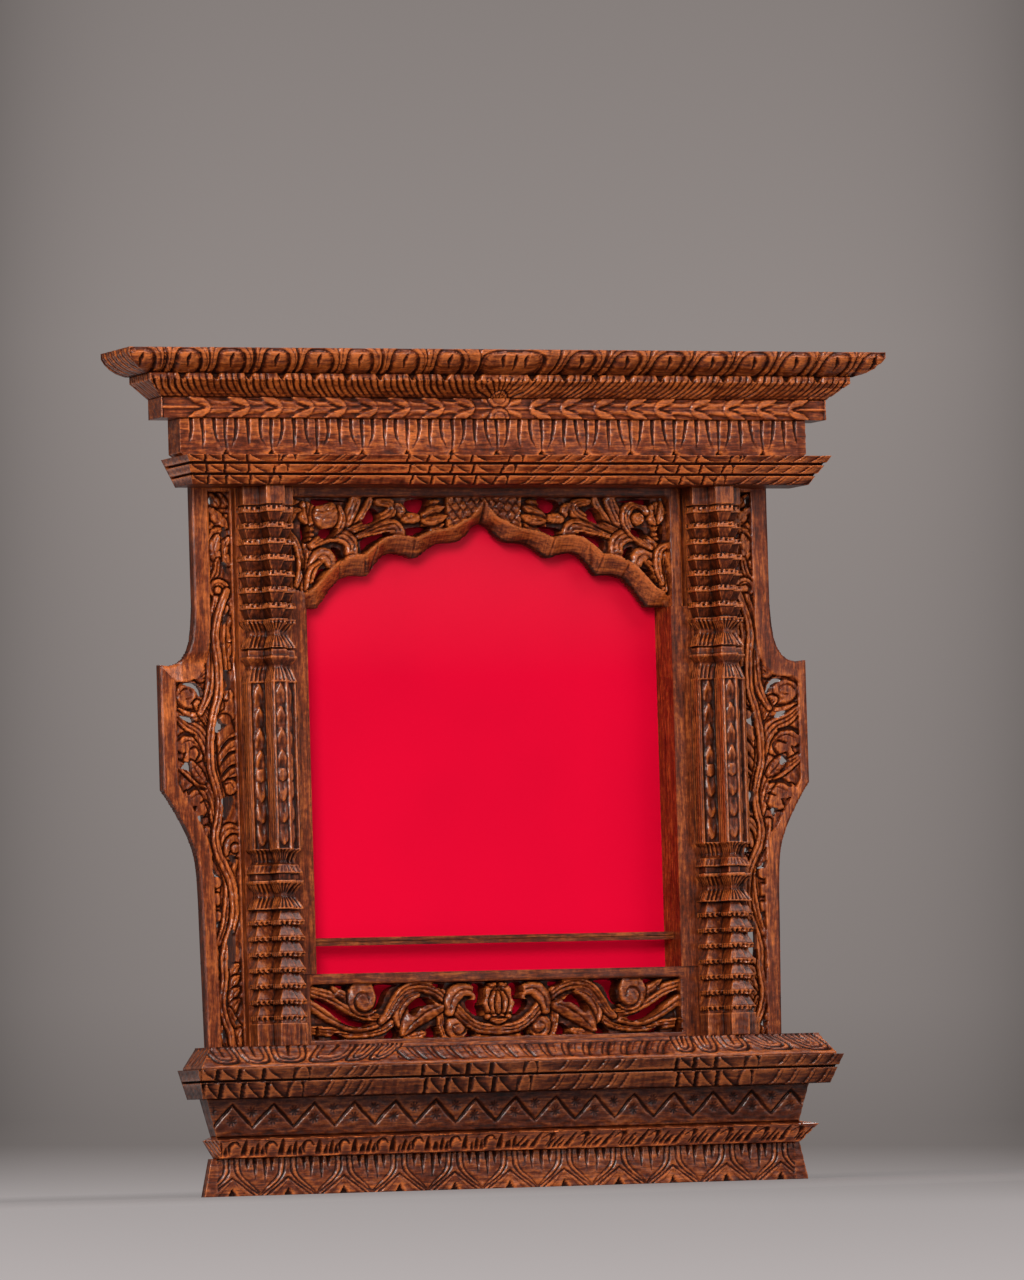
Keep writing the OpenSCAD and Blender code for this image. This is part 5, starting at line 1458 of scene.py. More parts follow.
def carve_arch(material):
    sizes = bpy.context.scene.carving_sizes
    ground = sizes.panel_ground / MM
    end_x, foot_z, top_z = 130.2, 350.4, 424.1
    # the inner edge of the border, which is wider on the left
    inner = [(-125.0, 417.0), (-126.4, 415.6), (-126.4, 362.4), (-118.8, 359.4), (-118.8, 300), (120.6, 300),
             (120.6, 415.6), (119.2, 417.0)]
    edge = [(-end_x, foot_z), *mirrored(ARCH_LOW), *ARCH_LOW[1:], (end_x, foot_z), (end_x, top_z),
            (-end_x, top_z)]
    ridge = curve(ARCH_TOP, 3)
    foot = np.asarray(ARCH_LOW + [(118.0, foot_z)], float)

    def front(x, z):
        ax = np.abs(x)
        field = np.zeros(x.shape)
        for left, half in ((True, x < 0), (False, x >= 0)):
            relief = Relief(ax[half], z[half], ground)
            woven = (relief.x < 24.5) & (relief.z > 399)
            u, w = relief.x[woven] + (0.6 if left else 0.0), relief.z[woven]
            relief.h[woven] = weave(u + 0.25 * (w - 405), w, ground, 5.6 if left else 6.0)
            arch_leaves(relief, left)
            field[half] = relief.depth()
        over, s = along(ax, z, ridge)
        under, q = along(ax, z, foot)
        rib = mound(over - 0.5, 0.9) ** 0.5
        rib = ground + 0.1 - (ground - 0.1) * rib
        field = np.where((over > -0.4) & (over < 1.4), np.minimum(field, rib), field)
        field = np.maximum(field, 1.8 * mound(over - 2.1, 0.8))
        # the slanted band from the ridge down to the cusped edge
        t = np.clip(-over / np.maximum(-over + np.abs(under), 1e-3), 0, 1)
        slope = 0.25 + 8.4 * t + 0.10 * np.sin(ax * 4.4 + 3 * np.sin(ax * 0.3))
        for line in ([(78.5, 382.5), (75.6, 370.4)], [(46, 392.4), (44.6, 380.6)], [(0.2, 415.0), (0.2, 402)],
                     [(69.5, 388.8), (72.4, 373.4)], [(95, 377.5), (92.6, 368.0)]):
            slope += groove(ax, z, line, 0.8, 0.9)
        band = over < 0.0
        depth = np.clip(np.where(band, slope, field), 0, 8.9)
        rim = side_of(x, z, inner)
        border = rim > 0
        gap = smooth(127.6, 129.4, ax)
        plain = border_marks(x, z) + 0.5 * mound(rim, 1.1) + 1.6 * gap
        y = np.where(border, BORDER_FRONT + np.clip(plain, 0, 2), LEAF_FRONT + depth)
        # the slanted band is brighter, with saw marks, but for a line of painted shade along its lower edge
        # on the right
        saw_marks = 0.14 * np.sin(ax * 3.1 + 3 * np.sin(ax * 0.3))
        painted_shade_line = 1.1 * smooth(0.86, 0.99, t) * smooth(-10, 10, x)
        wear = stands_out(depth, 0.55, 3, 9) - 0.05 * (depth > 3.8) + 0.05 \
            + band * (0.22 + saw_marks + 0.4 * mound(over, 0.8) - painted_shade_line)
        # painted shade on the top strip of the border and in the gap by the column; the upright strips are
        # lighter
        border_painted_light_and_shade = np.where(ax > 118, 0.2 - 0.7 * gap, -0.16)
        return lapped(x, y), np.where(border, border_painted_light_and_shade, np.clip(wear, -1, 1))

    def keep(x, z):
        return (side_of(x, z, edge) < 0) & outside_holes(np.abs(x), z, ARCH_HOLES)

    box = (-end_x, end_x), (foot_z, top_z)
    return plate("arch_panel", box, sizes.panel_cell / MM, front, panel_back, keep,
                 [edge] + both_sides(ARCH_HOLES), material)


def lower_leaves(r):
    """The running scroll of the lower panel, drawn on the right half."""
    # bands that run out to the stile
    r.stem([(68, 101.5), (76, 97), (90, 95), (104, 96), (123, 97.8)], [2.4, 3.0, 3.0, 2.8], 0.76, 2)
    r.stem([(70, 106), (79, 100.4), (93, 98.4), (106, 103), (123, 113.6)], [2.2, 2.6, 3.0, 3.2], 0.88, 1)
    r.stem([(74, 104), (84, 105.2), (97, 110.4), (108, 116.6), (124, 121.6)], [1.6, 3.4, 4.0, 4.0, 3.0],
           0.94, 2)
    r.leaf([(93, 114.5), (101, 118.4), (108, 123.6)], 2.9, 0.78, 3)
    # the strokes between the scroll and the pointed leaf
    r.stem([(37.6, 106), (36.8, 99), (34.4, 92)], [2.0, 2.6, 2.4], 0.7, 2)
    r.leaf([(46, 94.6), (54, 92.8), (62, 92.2)], 2.2, 0.66, 3)
    # the hanging lobe under the crest, then the pointed leaf over it
    r.stem([(52.5, 117.6), (59.4, 114.6), (64.4, 108), (64.4, 101.6), (62, 97.8)], [2.2, 3.6, 4.0, 3.4, 2.2],
           0.96, 1)
    r.leaf([(33.5, 111.4), (44, 109.6), (55, 103.4), (63.6, 93.2)], 6.4, 0.94, 0, midrib=False)
    r.cut([(37, 110.6), (46, 107.4), (54.6, 101.6), (61.4, 94.6)], [0.4, 0.8, 0.5], [0.8, 1.5, 0.9])
    r.cut([(41, 112.6), (49, 110.4), (57.4, 104.0)], 0.4, 0.8)
    r.leaf([(35, 112), (39.4, 116.4), (46, 118)], 2.6, 0.7, 2)
    # the spiral low beside the middle
    r.ball(27.0, 97.6, 7.4, 0.92)
    r.cut([(33.6, 103.8), (26.6, 103.6), (21.8, 100.4), (21.6, 95.6), (25.2, 92.8), (29.2, 94.2),
           (30.0, 97.8), (27.0, 99.4)], [1.2, 1.3, 1.3, 1.2, 1.0, 0.8, 0.6],
          [3.0, 2.8, 2.4, 2.2, 1.8, 1.4, 0.9])
    r.stem([(0, 91.4), (10, 92.8), (18, 93.6)], [1.8, 2.0, 1.4], 0.66, 1)
    # the running stem
    r.stem([(0, 95.4), (13, 97.2), (21.6, 102.6), (30, 111.4), (39.6, 119.2), (50, 122.4), (60, 120.4),
            (67, 113.4), (71.6, 106), (76, 101.8)], [3.2, 3.3, 3.3, 3.5, 3.6, 3.4, 2.8, 2.0], 0.84, 2)
    # the volute
    r.ball(86.4, 116.4, 11.2, 0.96)
    r.cut([(80.4, 124.4), (78.6, 117.6), (80.2, 110.6), (86.0, 107.4), (91.6, 109.8), (93.0, 115.2),
           (89.8, 119.0), (85.2, 118.2), (84.0, 114.2)], [1.5, 1.5, 1.5, 1.4, 1.2, 1.0, 0.9, 0.7],
          [3.4, 3.0, 2.8, 2.4, 2.0, 1.6, 1.2, 0.8])
    # the broad leaf that curls back at the top
    r.stem([(31.5, 106.5), (30, 114.4), (24.4, 119.6), (17.4, 119.2), (14.6, 114.4), (18.6, 111.8)],
           [2.6, 4.6, 4.9, 3.8, 2.6, 1.5], 0.98, 1)


def centre_flower(r):
    """The upright flower in the middle of the lower panel."""
    r.leaf([(0, 99.4), (0, 111), (0, 125.5)], 10.4, 0.80, 0, midrib=False)
    for s in (-1, 1):
        r.stem([(s * 1.6, 122.4), (s * 6.4, 119.6), (s * 8.4, 112.4), (s * 6.6, 106.2)], [1.4, 2.0, 2.2, 1.4],
               0.98, 0)
        r.stem([(s * 2.4, 117.8), (s * 4.8, 112.6), (s * 3.6, 106.4)], [1.0, 1.6, 1.0], 0.96, 0)
        r.ball(s * 6.6, 103.2, 1.9, 0.96)
        r.leaf([(s, 123.6), (s * 3.8, 122.4), (s * 6.4, 123.4)], 1.2, 0.94, 0)
    r.leaf([(0, 104.4), (0, 111), (0, 118.8)], 1.9, 1.06, 0)
    r.leaf([(-5.4, 101.6), (0, 100.4), (5.4, 101.6)], 1.8, 1.0, 0)


def carve_lower_panel(material):
    sizes = bpy.context.scene.carving_sizes
    ground = sizes.panel_ground / MM
    inner = [(-122.6, 91.7), (118.8, 91.7), (118.8, 123.4), (117.6, 124.5), (-121.4, 124.5), (-122.6, 123.4)]

    def front(x, z):
        ax = np.abs(x)
        relief = Relief(ax, z, ground)
        lower_leaves(relief)
        petals = Relief(x, z, ground)
        petals.h = relief.h
        centre_flower(petals)
        field = petals.depth()
        rim = side_of(x, z, inner)
        border = rim > 0
        plain = border_marks(x, z) + 0.5 * mound(rim, 1.0)
        y = np.where(border, BORDER_FRONT + np.clip(plain, 0, 2), LEAF_FRONT + field)
        wear = np.clip(stands_out(field, 0.55, 3, 9) - 0.05 * (field > 3.8), -1, 1)
        return lapped(x, y), np.where(border, 0.0, wear - 0.07)

    def keep(x, z):
        return outside_holes(np.abs(x), z, LOW_HOLES)

    box = (-130.2, 130.2), (Z_SILL, 131.0)
    return plate("lower_panel", box, sizes.panel_cell / MM, front, panel_back, keep,
                 both_sides(LOW_HOLES), material)


def wing_leaves(r):
    """The climbing vine of a side wing, drawn on the right."""
    stem = [(171, 88), (172.2, 97), (175.3, 105), (177.3, 115), (175.3, 128), (175.3, 140), (173.3, 150),
            (169.6, 160), (167.6, 170), (168.6, 185), (172.3, 195), (177.3, 205), (178.6, 215), (176.3, 225),
            (175.3, 235), (177.3, 245), (180.0, 255), (180.2, 270), (178.0, 285), (173.8, 300), (173.6, 318),
            (175.3, 335), (171.6, 350), (167.0, 361)]
    # leaves first, so that the stem lies over them
    r.leaf([(165.4, 411.5), (168.6, 415), (171.5, 420)], 2.9, 0.72, 2)
    r.leaf([(170.4, 411), (173, 415), (177, 419.5)], 2.7, 0.76, 2)
    r.leaf([(177.8, 399), (172, 401), (165.6, 407)], 3.1, 0.86, 3)
    r.leaf([(165.4, 398.6), (170.4, 403.4), (177.4, 411)], 3.3, 0.95, 3)
    r.leaf([(168.6, 398.6), (173.6, 396), (177.4, 391.6)], 2.4, 0.78, 2)
    r.leaf([(165.0, 375.6), (168.8, 384), (164.8, 393.6)], 3.2, 0.86, 3)
    r.leaf([(177.2, 373.6), (177.6, 382), (176.6, 391)], 2.2, 0.78, 2)
    r.leaf([(171.8, 377.6), (174.4, 386), (171.6, 395.4)], 3.4, 0.98, 3)
    r.stem([(172, 379), (173.4, 372), (176.6, 367)], [1.8, 2.0, 1.8], 0.74, 1)
    r.leaf([(178.0, 355), (176.4, 347), (178.2, 337)], 2.7, 0.74, 3)
    r.leaf([(165.0, 345.6), (169.6, 337.6), (165.4, 328.6)], 3.6, 0.92, 4)
    r.leaf([(165.0, 329.6), (170.0, 321.6), (166.0, 314)], 3.7, 0.86, 3)
    r.stem([(179.4, 344), (178.8, 333), (180.0, 322)], [1.7, 1.9, 1.6], 0.8, 1)
    r.leaf([(167.4, 282.4), (168.8, 292), (166.8, 302.4)], 4.3, 0.92, 0, midrib=False)
    # the rose bud
    r.leaf([(182.6, 289.4), (191, 285.4), (200.8, 291)], 2.8, 0.86, 4)
    r.ball(192.6, 299.0, 8.6, 1.0)
    for bend in (((198.6, 304.4), (194.0, 306.0), (188.6, 302.6), (188.4, 296.8), (192.4, 293.6)),
                 ((199.4, 299.6), (195.8, 302.6), (191.6, 301.0), (191.4, 297.4), (195.2, 296.4)),
                 ((200.2, 295.6), (196.6, 291.8), (190.6, 290.8), (186.2, 294.6))):
        r.cut(bend, [0.5, 0.9, 0.5], 1.2)
    r.stem([(187.8, 293.6), (183.8, 288), (180.6, 281.4)], [2.6, 3.3, 2.2], 0.94, 3)
    # the hood over the stem
    r.stem([(174.0, 292), (176.6, 304), (180.4, 312), (185.6, 309.4)], [2.8, 4.6, 5.2, 3.2], 0.94, 3)
    # big curled leaves on the outer side: a lined band, a dark slot, and a full body with a hooked tip
    for x, z, band in ((193.0, 266.2, [(201.4, 287.4), (195, 281.6), (187.8, 277.2), (182.8, 269),
                                       (181.0, 258)]),
                       (187.2, 234.2, [(200.8, 257.8), (192.6, 251.6), (185.6, 245.4), (180.8, 236),
                                       (178.8, 224)])):
        r.stem([(x + 7.4, z + 3.6), (x + 1.6, z + 2.6), (x - 2.2, z - 1.6), (x + 2.4, z - 6.4)],
               [4.2, 7.0, 6.6, 2.2], 0.98, 0)
        r.stem(band, [2.4, 3.3, 3.9, 3.4, 2.4], 0.92, 2)
        r.cut([(x + 7.8, z + 6.4), (x + 4.0, z + 9.4), (x - 2.6, z + 8.6)], [1.2, 1.9, 1.1], 2.4)
        r.cut([(x + 6.0, z + 3.2), (x + 0.6, z + 5.6), (x - 4.8, z + 2.4)], 0.5, 0.9)
        r.cut([(x - 2.8, z - 7.6), (x - 5.6, z - 2.0), (x - 3.4, z + 1.8), (x + 0.4, z + 0.4)],
              [0.7, 1.0, 1.1, 0.6], 1.9)
    r.leaf([(183.6, 246), (188.6, 252), (193.2, 260)], 3.0, 0.84, 3)
    # half leaf on the column side: one mass, slit into lobes that hook toward the column
    r.stem([(170.6, 283), (169.4, 272), (168.8, 258), (168.6, 246)], [4.4, 6.4, 6.4, 5.2], 0.95, 0)
    for z in (270.8, 262.6, 254.4, 247.0):
        r.cut([(175.2, z - 7.6), (171.6, z - 2.4), (167.6, z + 1.2), (163.0, z + 2.6)], [0.6, 1.2, 1.4, 1.0],
              [1.2, 2.4, 2.8, 2.4])
        r.cut([(174.6, z - 3.4), (170.4, z + 1.8), (165.4, z + 5.4)], 0.45, 0.8)
    r.ball(168.2, 243.8, 4.6, 0.98)
    r.cut([(171.4, 245.6), (168.0, 246.2), (166.0, 243.4)], 0.6, 1.2)
    r.leaf([(175.6, 205.4), (171, 202.6), (165.4, 204.4)], 2.4, 0.8, 2)
    r.stem([(177.0, 205), (175.0, 213.6), (169.6, 219.0), (162.6, 217.4)], [1.8, 2.8, 3.2, 2.2], 0.98, 1)
    r.stem([(172.0, 204), (170.6, 210.4), (166.2, 213.4), (162.8, 210.6)], [1.4, 2.2, 2.2, 1.6], 0.9, 0)
    r.ball(166.0, 207.2, 2.9, 0.86)
    # lobed leaf and strands on the outer side below
    r.ball(178.0, 166.6, 3.2, 0.86)
    r.ball(178.4, 176.8, 3.9, 0.92)
    r.ball(179.0, 187.2, 3.6, 0.98)
    r.stem([(173.4, 163), (174.4, 176), (173.4, 188)], [1.2, 1.6, 1.2], 0.8, 0)
    r.stem([(183.4, 219), (181.6, 209), (175.6, 199), (171.6, 189), (172.0, 176), (174.4, 161), (178.4, 150)],
           [2.0, 2.6, 2.5, 2.2, 2.2, 1.8], 0.80, 1)
    r.stem([(165.4, 199), (167.6, 192), (166.0, 182)], [1.8, 1.6, 1.2], 0.76, 0)
    r.leaf([(179.0, 148), (177.0, 140), (178.8, 131)], 2.3, 0.8, 3)
    for k in range(4):
        z = 133.5 - 7.0 * k
        r.leaf([(165.2, z + 4.6), (169.6, z + 0.6), (171.8, z - 8.4)], 2.7, 0.96 - 0.05 * k, 2)
    r.leaf([(178.6, 128), (179.2, 119), (178.2, 109)], 1.9, 0.76, 3)
    r.stem([(165.4, 99), (169.2, 103.6), (172.8, 111)], [1.9, 2.0, 1.5], 0.8, 1)
    r.leaf([(178.4, 109.4), (176.8, 101), (178.4, 91)], 2.2, 0.76, 3)
    r.leaf([(165.4, 88.5), (168.2, 94), (165.6, 100)], 2.9, 0.84, 2)
    r.leaf([(174.6, 87.6), (176.4, 92), (178.2, 96)], 2.0, 0.72, 0)
    r.scroll(172.6, 361.4, 5.3, 2.8, 215, 1.05, 2.8, 0.98)
    r.stem([(186.0, 288), (180.0, 301), (178.4, 318), (178.6, 333), (176.6, 346), (174.0, 357)],
           [1.6, 2.7, 2.9, 2.8, 2.4, 1.6], 0.84, 1)
    r.stem([(169.6, 297), (169.9, 312), (171.0, 326), (170.4, 340), (167.4, 351)], [1.4, 2.2, 2.4, 2.2, 1.6],
           0.82, 1)
    r.stem([(177.6, 263), (176.4, 251), (173.2, 240), (172.4, 228)], [1.0, 1.4, 1.4, 1.0], 0.82, 0)
    r.stem(stem, [2.2, 2.3, 2.4, 2.4, 2.6, 2.6, 2.3, 2.2, 2.3, 2.5, 2.6, 2.3, 2.1], 0.96, 1)


def carve_wing(name, sign, material):
    sizes = bpy.context.scene.carving_sizes
    ground = sizes.wing_ground / MM
    foot_z, top_z, end_x = 86.5, 424.6, 211.2
    outer = [(STILE_OUT, foot_z), (STILE_OUT, top_z)] + WING_OUT

    def front(x, z):
        ax = np.abs(x)
        # the right wing has the narrower outer border, and its leaves reach further out
        narrow = 4.4 * (1 - smooth(303, 309, z)) * smooth(150, 235, z) * (sign > 0)
        relief = Relief(ax - narrow * smooth(182, 204, ax), z, ground)
        relief.h[:] = 0.5 * ground
        wing_leaves(relief)
        field = relief.depth()
        rim = side_of(ax, z, WING_IN) - narrow * smooth(180, 190, ax)
        edge = side_of(ax, z, outer)
        border = rim > 0
        plain = 0.25 + 0.05 * np.sin(z * 0.19 + 0.4 * ax) + 0.45 * mound(edge, 1.2) + 0.45 * mound(rim, 1.0)
        # the shoulder falls back towards its outer corner, and so catches the light
        shoulder_x, shoulder_z = 201.4, 306.8
        mitre = z - shoulder_z - 1.1 * np.maximum(ax - shoulder_x, 0)
        shoulder = border * smooth(0, 0.8, mitre) * (1 - smooth(317.6, 325, z)) * (sign < 0)
        fall = shoulder * (0.20 * np.clip(z - shoulder_z, 0, 11) + 0.27 * np.clip(ax - 196.5, 0, 15))
        inside = np.where(field < 0.6, 0.6 + 0.3 * field, field)
        y = WING_FRONT + np.where(border, np.clip(plain + fall, 0, 5.6), np.maximum(inside, 0.55))
        # a painted highlight on the left wing's shoulder; the border is also lighter over the middle of its
        # height and darker on the right wing
        border_painted_light_and_shade = 0.14 * smooth(-190, -120, -np.abs(z - 290)) + 0.3 * shoulder - 0.12 * (sign > 0)
        wear = stands_out(np.where(border, plain, inside), 0.6, 4, 11) + border * border_painted_light_and_shade
        return y, np.clip(wear, -1, 1)

    def back(x, z):
        return np.full(x.shape, WING_BACK)

    def keep(x, z):
        return (side_of(np.abs(x), z, outer) < 0) & outside_holes(np.abs(x), z, WING_HOLES)

    box = sorted((sign * STILE_OUT, sign * end_x)), (foot_z, top_z)
    drawn = [outer] + [curve(hole, 3, True) for hole in WING_HOLES]
    outlines = [[(sign * x, z) for x, z in points] for points in drawn]
    return plate(name, box, sizes.wing_cell / MM, front, back, keep, outlines, material)


# ---- plain pieces that keep their CAD shape, the satin, the stage ----


def refinish(names, material):
    """Gives CAD nodes a better material."""
    for name in names:
        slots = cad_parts[name].data.materials
        slots.clear()
        slots.append(material)


def lap_with(panel, wood):
    """Gives the upright borders of a panel, which lap over the stiles, wood of upright grain."""
    border_x = 121.2
    faces = panel.data.polygons
    middle = np.zeros(3 * len(faces))
    faces.foreach_get("center", middle)
    panel.data.materials.append(wood)
    faces.foreach_set("material_index", (np.abs(middle[::3]) > border_x * MM).astype(int))


def hang_satin(material):
    """The satin: one sheet drawn over its card, with slack that shows as shallow folds."""
    low, high = (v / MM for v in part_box("satin_sheet"))
    fold_depth, clear_of_card = 0.17, 0.03
    bm, at = new_grid(90, 124)
    across, up = at.T
    edge = np.minimum(np.minimum(across, 1 - across) * 8, np.minimum(up, 1 - up) * 8)
    folds = 0.5 + 0.5 * np.sin(across * 9 + 2.2 * np.sin(up * 3.1)) * np.sin(up * 5 + 1)
    for v, (u, w), slack in zip(bm.verts, at, np.clip(edge, 0, 1) * folds):
        v.co = ((low[0] + (high[0] - low[0]) * u) * MM, (low[1] + fold_depth * (1 - slack)) * MM,
                (low[2] + (high[2] - low[2]) * w) * MM)
    shade_smooth(bm)
    bmesh.ops.recalc_face_normals(bm, faces=bm.faces)
    if bm.faces[:][0].normal.y > 0:
        bmesh.ops.reverse_faces(bm, faces=bm.faces)
    for v in doubled(bm):
        v.co.y = (high[1] - clear_of_card) * MM
    bmesh.ops.recalc_face_normals(bm, faces=bm.faces)
    piece = placed("satin_sheet", bm, material)


def lamp(name, at, aim, size, power, colour=(1, 1, 1)):
    """A rectangular lamp at one point, turned to another. Lengths are in metres, and power is in watts."""
    light = bpy.data.lights.new(name, "AREA")
    light.shape, light.size, light.size_y = "RECTANGLE", size[0], size[1]
    light.energy, light.color = power, colour
    holder = bpy.data.objects.new(name, light)
    bpy.context.scene.collection.objects.link(holder)
    holder.location = at
    holder.rotation_mode = "QUATERNION"
    holder.rotation_quaternion = (Vector(aim) - Vector(at)).to_track_quat("-Z", "Y")


LAMPS = (  # name, place, size, power, colour
    ("key", (-1.05, -1.85, 1.02), (0.7, 0.7), 32, (1.0, 0.97, 0.93)),
    ("front", (-0.95, -2.2, 0.42), (1.0, 0.9), 8, (1.0, 0.97, 0.95)),
    ("fill", (1.5, -1.9, 0.55), (1.4, 1.4), 7, (0.95, 0.97, 1.0)),
    ("top", (0.75, -1.55, 1.95), (1.3, 0.7), 13, (0.97, 0.98, 1.0)),
    ("rear", (0.9, 1.7, 1.2), (1.2, 1.2), 12, (1, 1, 1)))


def lay_floor():
    """One sheet, in metres, that runs back under the frame and turns up in a curve to the backdrop."""
    half_width, rear, bend, rise = 9.0, 3.2, 0.6, 3.4
    bm = bmesh.new()
    bmesh.ops.create_grid(bm, x_segments=1, y_segments=1, size=half_width)
    bmesh.ops.translate(bm, verts=bm.verts, vec=(0, rear - half_width, 0))
    edge = max(bm.edges, key=lambda e: e.verts[0].co.y + e.verts[1].co.y)
    turn = bmesh.ops.spin(bm, geom=[edge], cent=(0, rear, bend), axis=(1, 0, 0), dvec=(0, 0, 0),
                          angle=math.pi / 2, steps=16, use_merge=False, use_duplicate=False)["geom_last"]
    last = [e for e in turn if isinstance(e, bmesh.types.BMEdge)]
    up = bmesh.ops.extrude_edge_only(bm, edges=last)["geom"]
    bmesh.ops.translate(bm, verts=only_points(up), vec=(0, 0, rise))
    shade_smooth(bm)
    bmesh.ops.recalc_face_normals(bm, faces=bm.faces)
    bm.normal_update()
    if max(bm.faces, key=lambda f: f.calc_area()).normal.z < 0:
        bmesh.ops.reverse_faces(bm, faces=bm.faces)
    floor = bpy.data.objects.new("floor", to_mesh("floor", bm, pale_floor()))
    bpy.context.scene.collection.objects.link(floor)


def set_lights():
    """The lamps, and the faint light of the room."""
    scene = bpy.context.scene
    scene.view_settings.view_transform = "Standard"
    world = bpy.data.worlds.new("studio")
    scene.world = world
    world.use_nodes = True
    room = world.node_tree.nodes["Background"].inputs
    room["Color"].default_value = (0.97, 0.97, 1.0, 1)
    room["Strength"].default_value = 0.22
    for name, at, size, power, colour in LAMPS:
        lamp(name, at, (0, 0, 0.27 if name == "key" else 0.25), size, power, colour)


def set_camera():
    """The camera where the photograph was taken, for an upright picture of 1024 by 1280."""
    turn, shift = photo_view()
    data = bpy.data.cameras.new("camera")
    data.sensor_width = data.sensor_height = SENSOR
    data.sensor_fit = "AUTO"
    data.lens = PHOTO_FOCAL / PICTURE_HEIGHT * SENSOR
    data.clip_start, data.clip_end = 0.1, 60.0
    camera = bpy.data.objects.new("camera", data)
    bpy.context.scene.collection.objects.link(camera)
    right, ahead, up = turn
    pose = Matrix((right, up, -ahead)).transposed().to_4x4()
    pose.translation = -(turn.transposed() @ shift) * MM
    camera.matrix_world = pose
    bpy.context.scene.camera = camera


# ---- one operator for each piece or group of like pieces, and one for the stage ----


class FRAME_OT_carcass(bpy.types.Operator):
    """Finish the stiles, the rails and the slat"""
    bl_idname = "carved_frame.carcass"
    bl_label = "Carcass"

    def execute(self, context):
        refinish(["left_stile", "right_stile"], stained_wood("stile_wood", "z", False, tone=1.2, gloss=0.42))
        refinish(["top_rail", "bottom_rail", "picture_slat"],
                 stained_wood("rail_wood", "x", False, tone=0.92, gloss=0.42))
        return {"FINISHED"}


class FRAME_OT_boards(bpy.types.Operator):
    """Carve the boards of the cornice and of the base"""
    bl_idname = "carved_frame.boards"
    bl_label = "Cornice and base boards"

    def execute(self, context):
        woods = {}
        for name, rows, cuts, rough, tone in BOARDS:
            low = rows[0][0] < Z_SILL
            part, share, shine = ("base", 0.96, 0.6) if low else ("cornice", 1.0, 0.34)
            wood = "carved_wood_%s_%d" % (part, round(100 * tone))
            if wood not in woods:
                woods[wood] = stained_wood(wood, "x", tone=tone * share, shine=shine)
            tint = crown_painted_highlight if name == "crown_board" else None
            board(name, rows, cuts, woods[wood], rough, "dentil" in name, tint)
        return {"FINISHED"}


class FRAME_OT_columns(bpy.types.Operator):
    """Carve the two stepped columns"""
    bl_idname = "carved_frame.columns"
    bl_label = "Columns"

    def execute(self, context):
        wood = stained_wood("carved_wood_upright", "z", tone=0.96, shine=0.62)
        carve_column("left_column", -COLUMN_X, wood)
        carve_column("right_column", COLUMN_X, wood)
        return {"FINISHED"}


class FRAME_OT_panels(bpy.types.Operator):
    """Carve the pierced arch panel and the pierced lower panel"""
    bl_idname = "carved_frame.panels"
    bl_label = "Arch and lower panel"

    def execute(self, context):
        wood = stained_wood("pierced_panel_wood", "x", tone=0.98, shine=0.64)
        upright = stained_wood("panel_border_wood", "z")
        lap_with(carve_arch(wood), upright)
        lap_with(carve_lower_panel(wood), upright)
        return {"FINISHED"}


class FRAME_OT_wings(bpy.types.Operator):
    """Carve the two pierced side wings"""
    bl_idname = "carved_frame.wings"
    bl_label = "Side wings"

    def execute(self, context):
        wood = stained_wood("wing_wood", "z", tone=1.2)
        carve_wing("left_wing", -1, wood)
        carve_wing("right_wing", 1, wood)
        return {"FINISHED"}


class FRAME_OT_picture_pack(bpy.types.Operator):
    """Lay in the satin, its card and the backing board"""
    bl_idname = "carved_frame.picture_pack"
    bl_label = "Satin, card and backing"

    def execute(self, context):
        hang_satin(red_satin())
        refinish(["satin_card"], grey_card())
        refinish(["backing_board"], backing_panel())
        return {"FINISHED"}


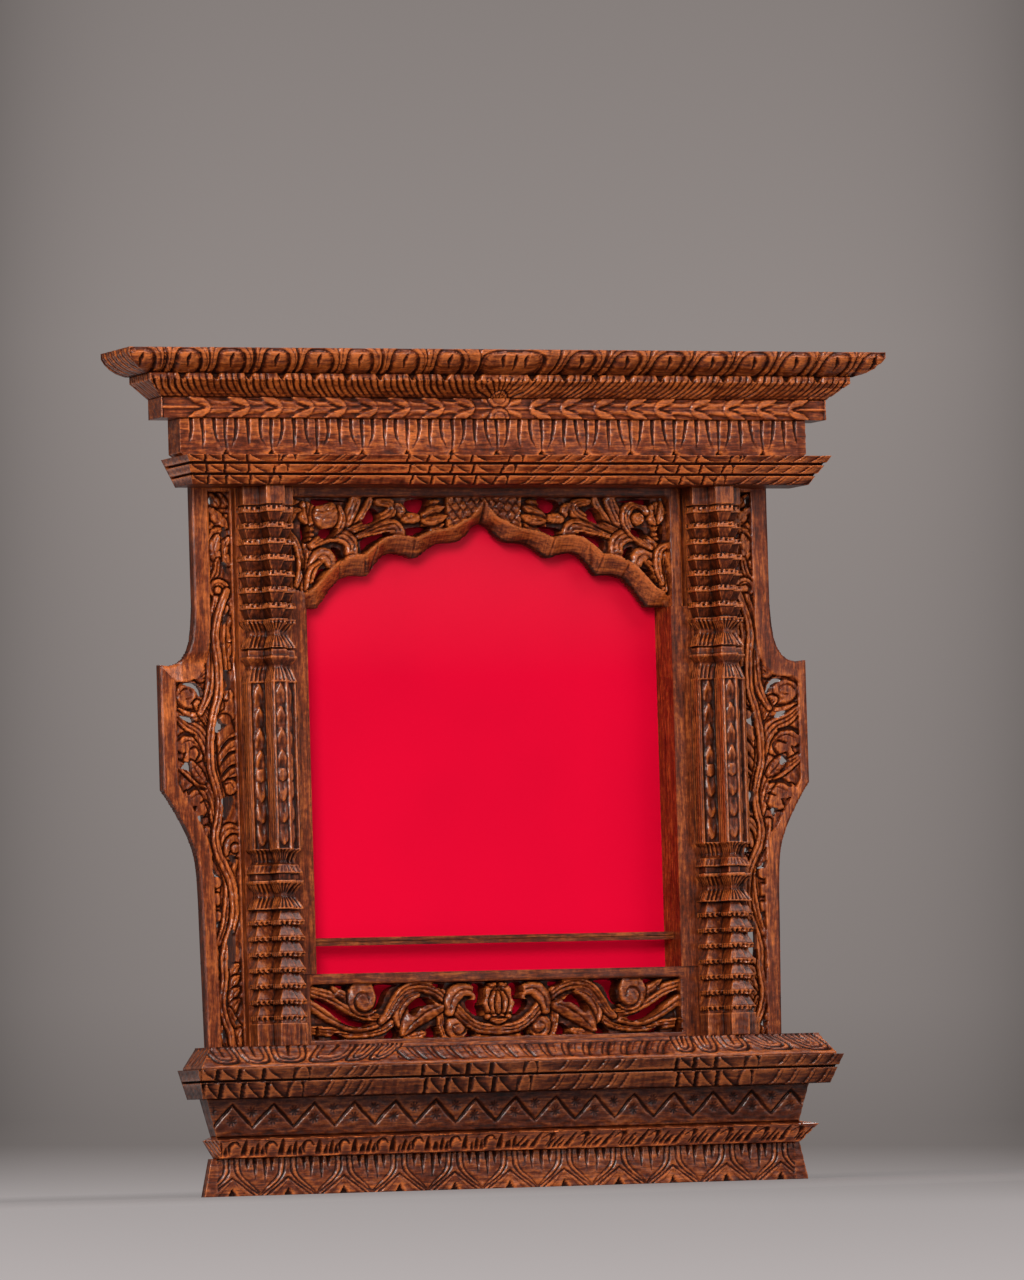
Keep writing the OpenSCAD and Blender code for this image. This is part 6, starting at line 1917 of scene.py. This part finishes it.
class FRAME_OT_hardware(bpy.types.Operator):
    """Finish the turn buttons, hangers, rings and screws"""
    bl_idname = "carved_frame.hardware"
    bl_label = "Hardware"

    def execute(self, context):
        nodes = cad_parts
        brass = aged_metal("aged_brass", (0.78, 0.55, 0.24), (0.42, 0.27, 0.10), 0.30)
        steel = aged_metal("screw_steel", (0.60, 0.59, 0.57), (0.36, 0.34, 0.31), 0.32)
        for kinds, metal in ((("button_", "hanger_left", "hanger_right", "ring_"), brass),
                             (("screw_", "hanger_screw"), steel)):
            refinish([n for n in nodes if n.startswith(kinds)], metal)
        return {"FINISHED"}


class FRAME_OT_stage(bpy.types.Operator):
    """Set the floor, the lamps and the camera"""
    bl_idname = "carved_frame.stage"
    bl_label = "Stage"

    def execute(self, context):
        lay_floor()
        set_lights()
        set_camera()
        return {"FINISHED"}


class FRAME_PT_panel(bpy.types.Panel):
    """Lists the sizes, the colours and the steps"""
    bl_idname = "FRAME_PT_panel"
    bl_label = "Carved Frame"
    bl_space_type = "VIEW_3D"
    bl_region_type = "UI"
    bl_category = "Carved Frame"

    def draw(self, context):
        layout = self.layout
        for group in (context.scene.carving_sizes, context.scene.finish_colours):
            box = layout.box()
            for key in group.__annotations__:
                box.prop(group, key)
        for step in STEPS:
            layout.operator(step.bl_idname)


STEPS = (FRAME_OT_stage, FRAME_OT_carcass, FRAME_OT_boards, FRAME_OT_columns, FRAME_OT_panels,
         FRAME_OT_wings, FRAME_OT_picture_pack, FRAME_OT_hardware)
CLASSES = (CarvingSizes, FinishColours, *STEPS, FRAME_PT_panel)


def register():
    for item in CLASSES:
        bpy.utils.register_class(item)
    bpy.types.Scene.carving_sizes = bpy.props.PointerProperty(type=CarvingSizes)
    bpy.types.Scene.finish_colours = bpy.props.PointerProperty(type=FinishColours)


def unregister():
    del bpy.types.Scene.finish_colours
    del bpy.types.Scene.carving_sizes
    for item in reversed(CLASSES):
        bpy.utils.unregister_class(item)


def main():
    register()
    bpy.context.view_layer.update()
    steps = bpy.ops.carved_frame
    steps.stage()
    steps.carcass()
    steps.boards()
    steps.columns()
    steps.panels()
    steps.wings()
    steps.picture_pack()
    steps.hardware()
    bpy.context.view_layer.update()


if __name__ == "__main__":
    main()
